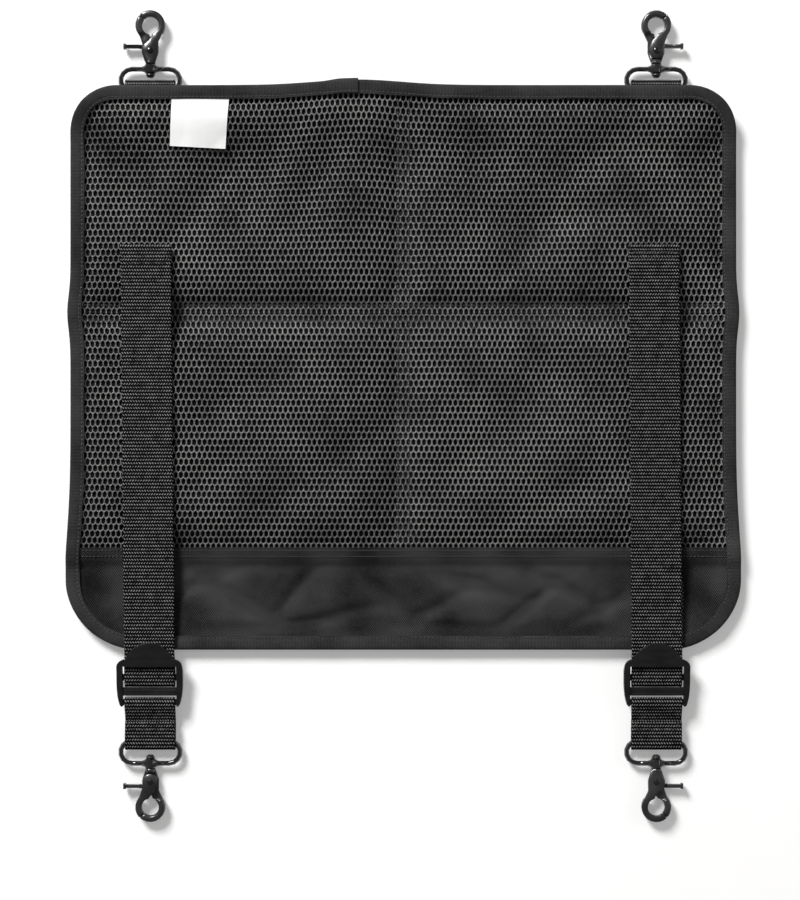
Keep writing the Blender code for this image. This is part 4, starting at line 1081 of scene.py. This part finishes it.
def slab(tool, outline, low, top, centre_x):
    """A plate whose outline is (u, t) and whose faces follow two height rules of t."""
    under = [tool.verts.new((centre_x + u, TIP_Y - t, low(t))) for u, t in outline]
    over = [tool.verts.new((centre_x + u, TIP_Y - t, top(t))) for u, t in outline]
    tool.faces.new(under)
    tool.faces.new(over)
    join_rows(tool, under + under[:1], over + over[:1])


def build_buckles(materials):
    half = math.acos((TAB_RADIUS - TAB_DEPTH) / TAB_RADIUS)
    tab = [(TAB_RADIUS * sin(angle), (TAB_RADIUS - TAB_RADIUS * cos(angle)) * 1.13 - 0.0020)
           for angle in (mix(-half, half, k / 28) for k in range(29))]
    tab += [(TAB_HALF_FOOT, TAB_FOOT), (-TAB_HALF_FOOT, TAB_FOOT)]
    for side_name, side in (("left", -1.0), ("right", 1.0)):
        tool = bmesh.new()
        centre = side * HOOK_X
        slab(tool, ARM, arm_low, arm_top, centre)
        slab(tool, [(-u, t) for u, t in reversed(ARM)], arm_low, arm_top, centre)
        slab(tool, tab, lambda t: tab_top(t) - TAB_THICKNESS, tab_top, centre)
        for wide, near, far, low, top in CROSSPIECES:
            slab(tool, [(-wide, near), (wide, near), (wide, far), (-wide, far)],
                 lambda t, z=low: z, lambda t, z=top: z, centre)
        buckle = finish_piece(f"buckle_moulding_{side_name}", tool, materials["plastic"], angle=35)
        rounding = buckle.modifiers.new("edges", "BEVEL")
        rounding.width = 0.00045
        rounding.segments = 3
        rounding.limit_method = "ANGLE"
        rounding.angle_limit = radians(35)
        rounding.harden_normals = True
        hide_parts(f"ladder_lock_buckle_{side_name}")


# Cast pieces: the solids' own faces, merged and smoothed so that their edges catch the light

CLAW_Y = 0.2960
CLAW_MIDDLE = 0.0089
JOINT_ANGLE = 136.0
TONGUE = (0.0034, 0.0026, 0.0036)
# Node, body, material and slot of the pieces at each corner
CAST_KINDS = (("swivel_eye", "eye", "eye", "eye_steel"), ("hook_body", "hook", "hook", "hook_metal"),
              ("gate", "gate", "hook", "hook_metal"), ("pivot_rivet", "hook", "rivet", "rivet_steel"),
              ("gate_spring", "hook", "spring", "spring_steel"))


def cast_piece(name, body, material):
    tool = bmesh.new()
    tool.from_mesh(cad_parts[name].data)
    bmesh.ops.remove_doubles(tool, verts=tool.verts, dist=0.00001)
    bmesh.ops.dissolve_limit(tool, angle_limit=radians(0.6), verts=tool.verts, edges=tool.edges)
    bmesh.ops.triangulate(tool, faces=[face for face in tool.faces if len(face.verts) > 4])
    piece = finish_piece(name + "_cast", tool, material, body=body, angle=42)
    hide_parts(name)


def claw_tongue(corner, side, up, material):
    """The half-lap inside the claw's joint, so that no light passes between gate and body."""
    tool = bmesh.new()
    angle = radians(JOINT_ANGLE)
    x, y = cos(angle) * side * -1.0, sin(angle) * up
    centre = Vector((side * HOOK_X + CLAW_MIDDLE * x, up * CLAW_Y + CLAW_MIDDLE * y, HOOK_Z))
    out = Vector((x, y, 0.0))
    along = Vector((-y, x, 0.0))
    for vert in bmesh.ops.create_cube(tool, size=1.0)["verts"]:
        shift = out * vert.co.x * TONGUE[0] + along * vert.co.y * TONGUE[1]
        vert.co = centre + shift + Vector((0.0, 0.0, vert.co.z * TONGUE[2]))
    bmesh.ops.bevel(tool, geom=tool.edges[:], offset=0.0003, segments=2, affect="EDGES")
    piece = finish_piece(f"claw_tongue_{corner}", tool, material, body=f"hook_{corner}", angle=40)


def build_castings(materials):
    for corner, side, up in (("upper_left", -1.0, 1.0), ("upper_right", 1.0, 1.0),
                             ("lower_left", -1.0, -1.0), ("lower_right", 1.0, -1.0)):
        for kind, body, look, slot_name in CAST_KINDS:
            cast_piece(f"{kind}_{corner}", f"{body}_{corner}", materials[look])
        claw_tongue(corner, side, up, materials["hook"])


# Stage

FLOOR_Z = -0.0003
FLOOR_HALF = 3.0
PICTURE_CENTRE = (-0.0025, -0.0256)
CAMERA_HEIGHT = 1.60
FRAME_HEIGHT = 0.684
SENSOR = 36.0
WORLD_LEVEL = 0.22
LAMPS = [("key", (-2.2, 3.3, 2.7), (1.5, 1.5), 355.0), ("fill", (2.8, 0.6, 1.5), (1.6, 1.0), 10.0)]


def build_stage():
    tool = bmesh.new()
    tool.faces.new([tool.verts.new((x * FLOOR_HALF, y * FLOOR_HALF, FLOOR_Z))
                    for x, y in ((-1, -1), (1, -1), (1, 1), (-1, 1))])
    floor = finish_piece("floor", tool, floor_material(), body=None)
    scene = bpy.context.scene

    world = bpy.data.worlds.new("studio")
    world.use_nodes = True
    background = world.node_tree.nodes["Background"]
    background.inputs["Color"].default_value = (1.0, 0.995, 0.99, 1.0)
    background.inputs["Strength"].default_value = WORLD_LEVEL
    scene.world = world

    for name, spot, size, power in LAMPS:
        light = bpy.data.lights.new(name, "AREA")
        light.shape = "RECTANGLE"
        light.size, light.size_y = size
        light.energy = power
        lamp = bpy.data.objects.new(name, light)
        lamp.location = spot
        lamp.rotation_euler = (-Vector(spot)).to_track_quat("-Z", "Y").to_euler()
        scene.collection.objects.link(lamp)

    camera_data = bpy.data.cameras.new("camera")
    camera_data.sensor_width = SENSOR
    camera_data.lens = SENSOR * CAMERA_HEIGHT / FRAME_HEIGHT
    camera = bpy.data.objects.new("camera", camera_data)
    camera.location = (*PICTURE_CENTRE, CAMERA_HEIGHT)
    scene.collection.objects.link(camera)
    scene.camera = camera
    scene.view_settings.view_transform = "Standard"


def main():
    backing_tones = (0.010, 0.010, 0.011), (0.028, 0.028, 0.029)
    hem_tones = (0.005, 0.005, 0.0055), (0.046, 0.0455, 0.0455)
    hook_tones = (0.020, 0.020, 0.021), (0.060, 0.061, 0.063)
    eye_tones = (0.008, 0.008, 0.009), (0.024, 0.024, 0.025)
    rivet_tones = (0.02, 0.02, 0.021), (0.05, 0.05, 0.05)
    spring_tones = (0.25, 0.25, 0.25), (0.40, 0.40, 0.40)
    materials = {
        "net": mesh_thread_material(), "ground": ground_and_hole_shade_material(),
        "backing": cloth_material("backing_weave", *backing_tones, 0.0011, 0.0, sheen=0.1),
        "hem": cloth_material("hem_twill", *hem_tones, 0.0012, 58.0, sheen=0.04, relief=0.0004),
        "webbing": webbing_material(), "binding": binding_material(),
        "thread": thread_material("thread", (0.050, 0.049, 0.049)), "label": label_material(),
        "plastic": plastic_material(),
        "hook": metal_material("hook_plating", *hook_tones, 0.24, 0.38, metallic=0.5, coat=0.35),
        "eye": metal_material("eye_coating", *eye_tones, 0.16, 0.28, metallic=0.4, coat=0.7),
        "rivet": metal_material("rivet_plating", *rivet_tones, 0.12, 0.24),
        "spring": metal_material("spring_wire", *spring_tones, 0.20, 0.34, metallic=1.0)}
    build_stage()
    build_base_and_hem(materials)
    build_pads(materials)
    build_mesh_face(materials)
    build_binding(materials)
    build_webbing(materials)
    build_buckles(materials)
    build_label(materials)
    build_stitches(materials)
    build_castings(materials)


main()
bpy.context.view_layer.update()
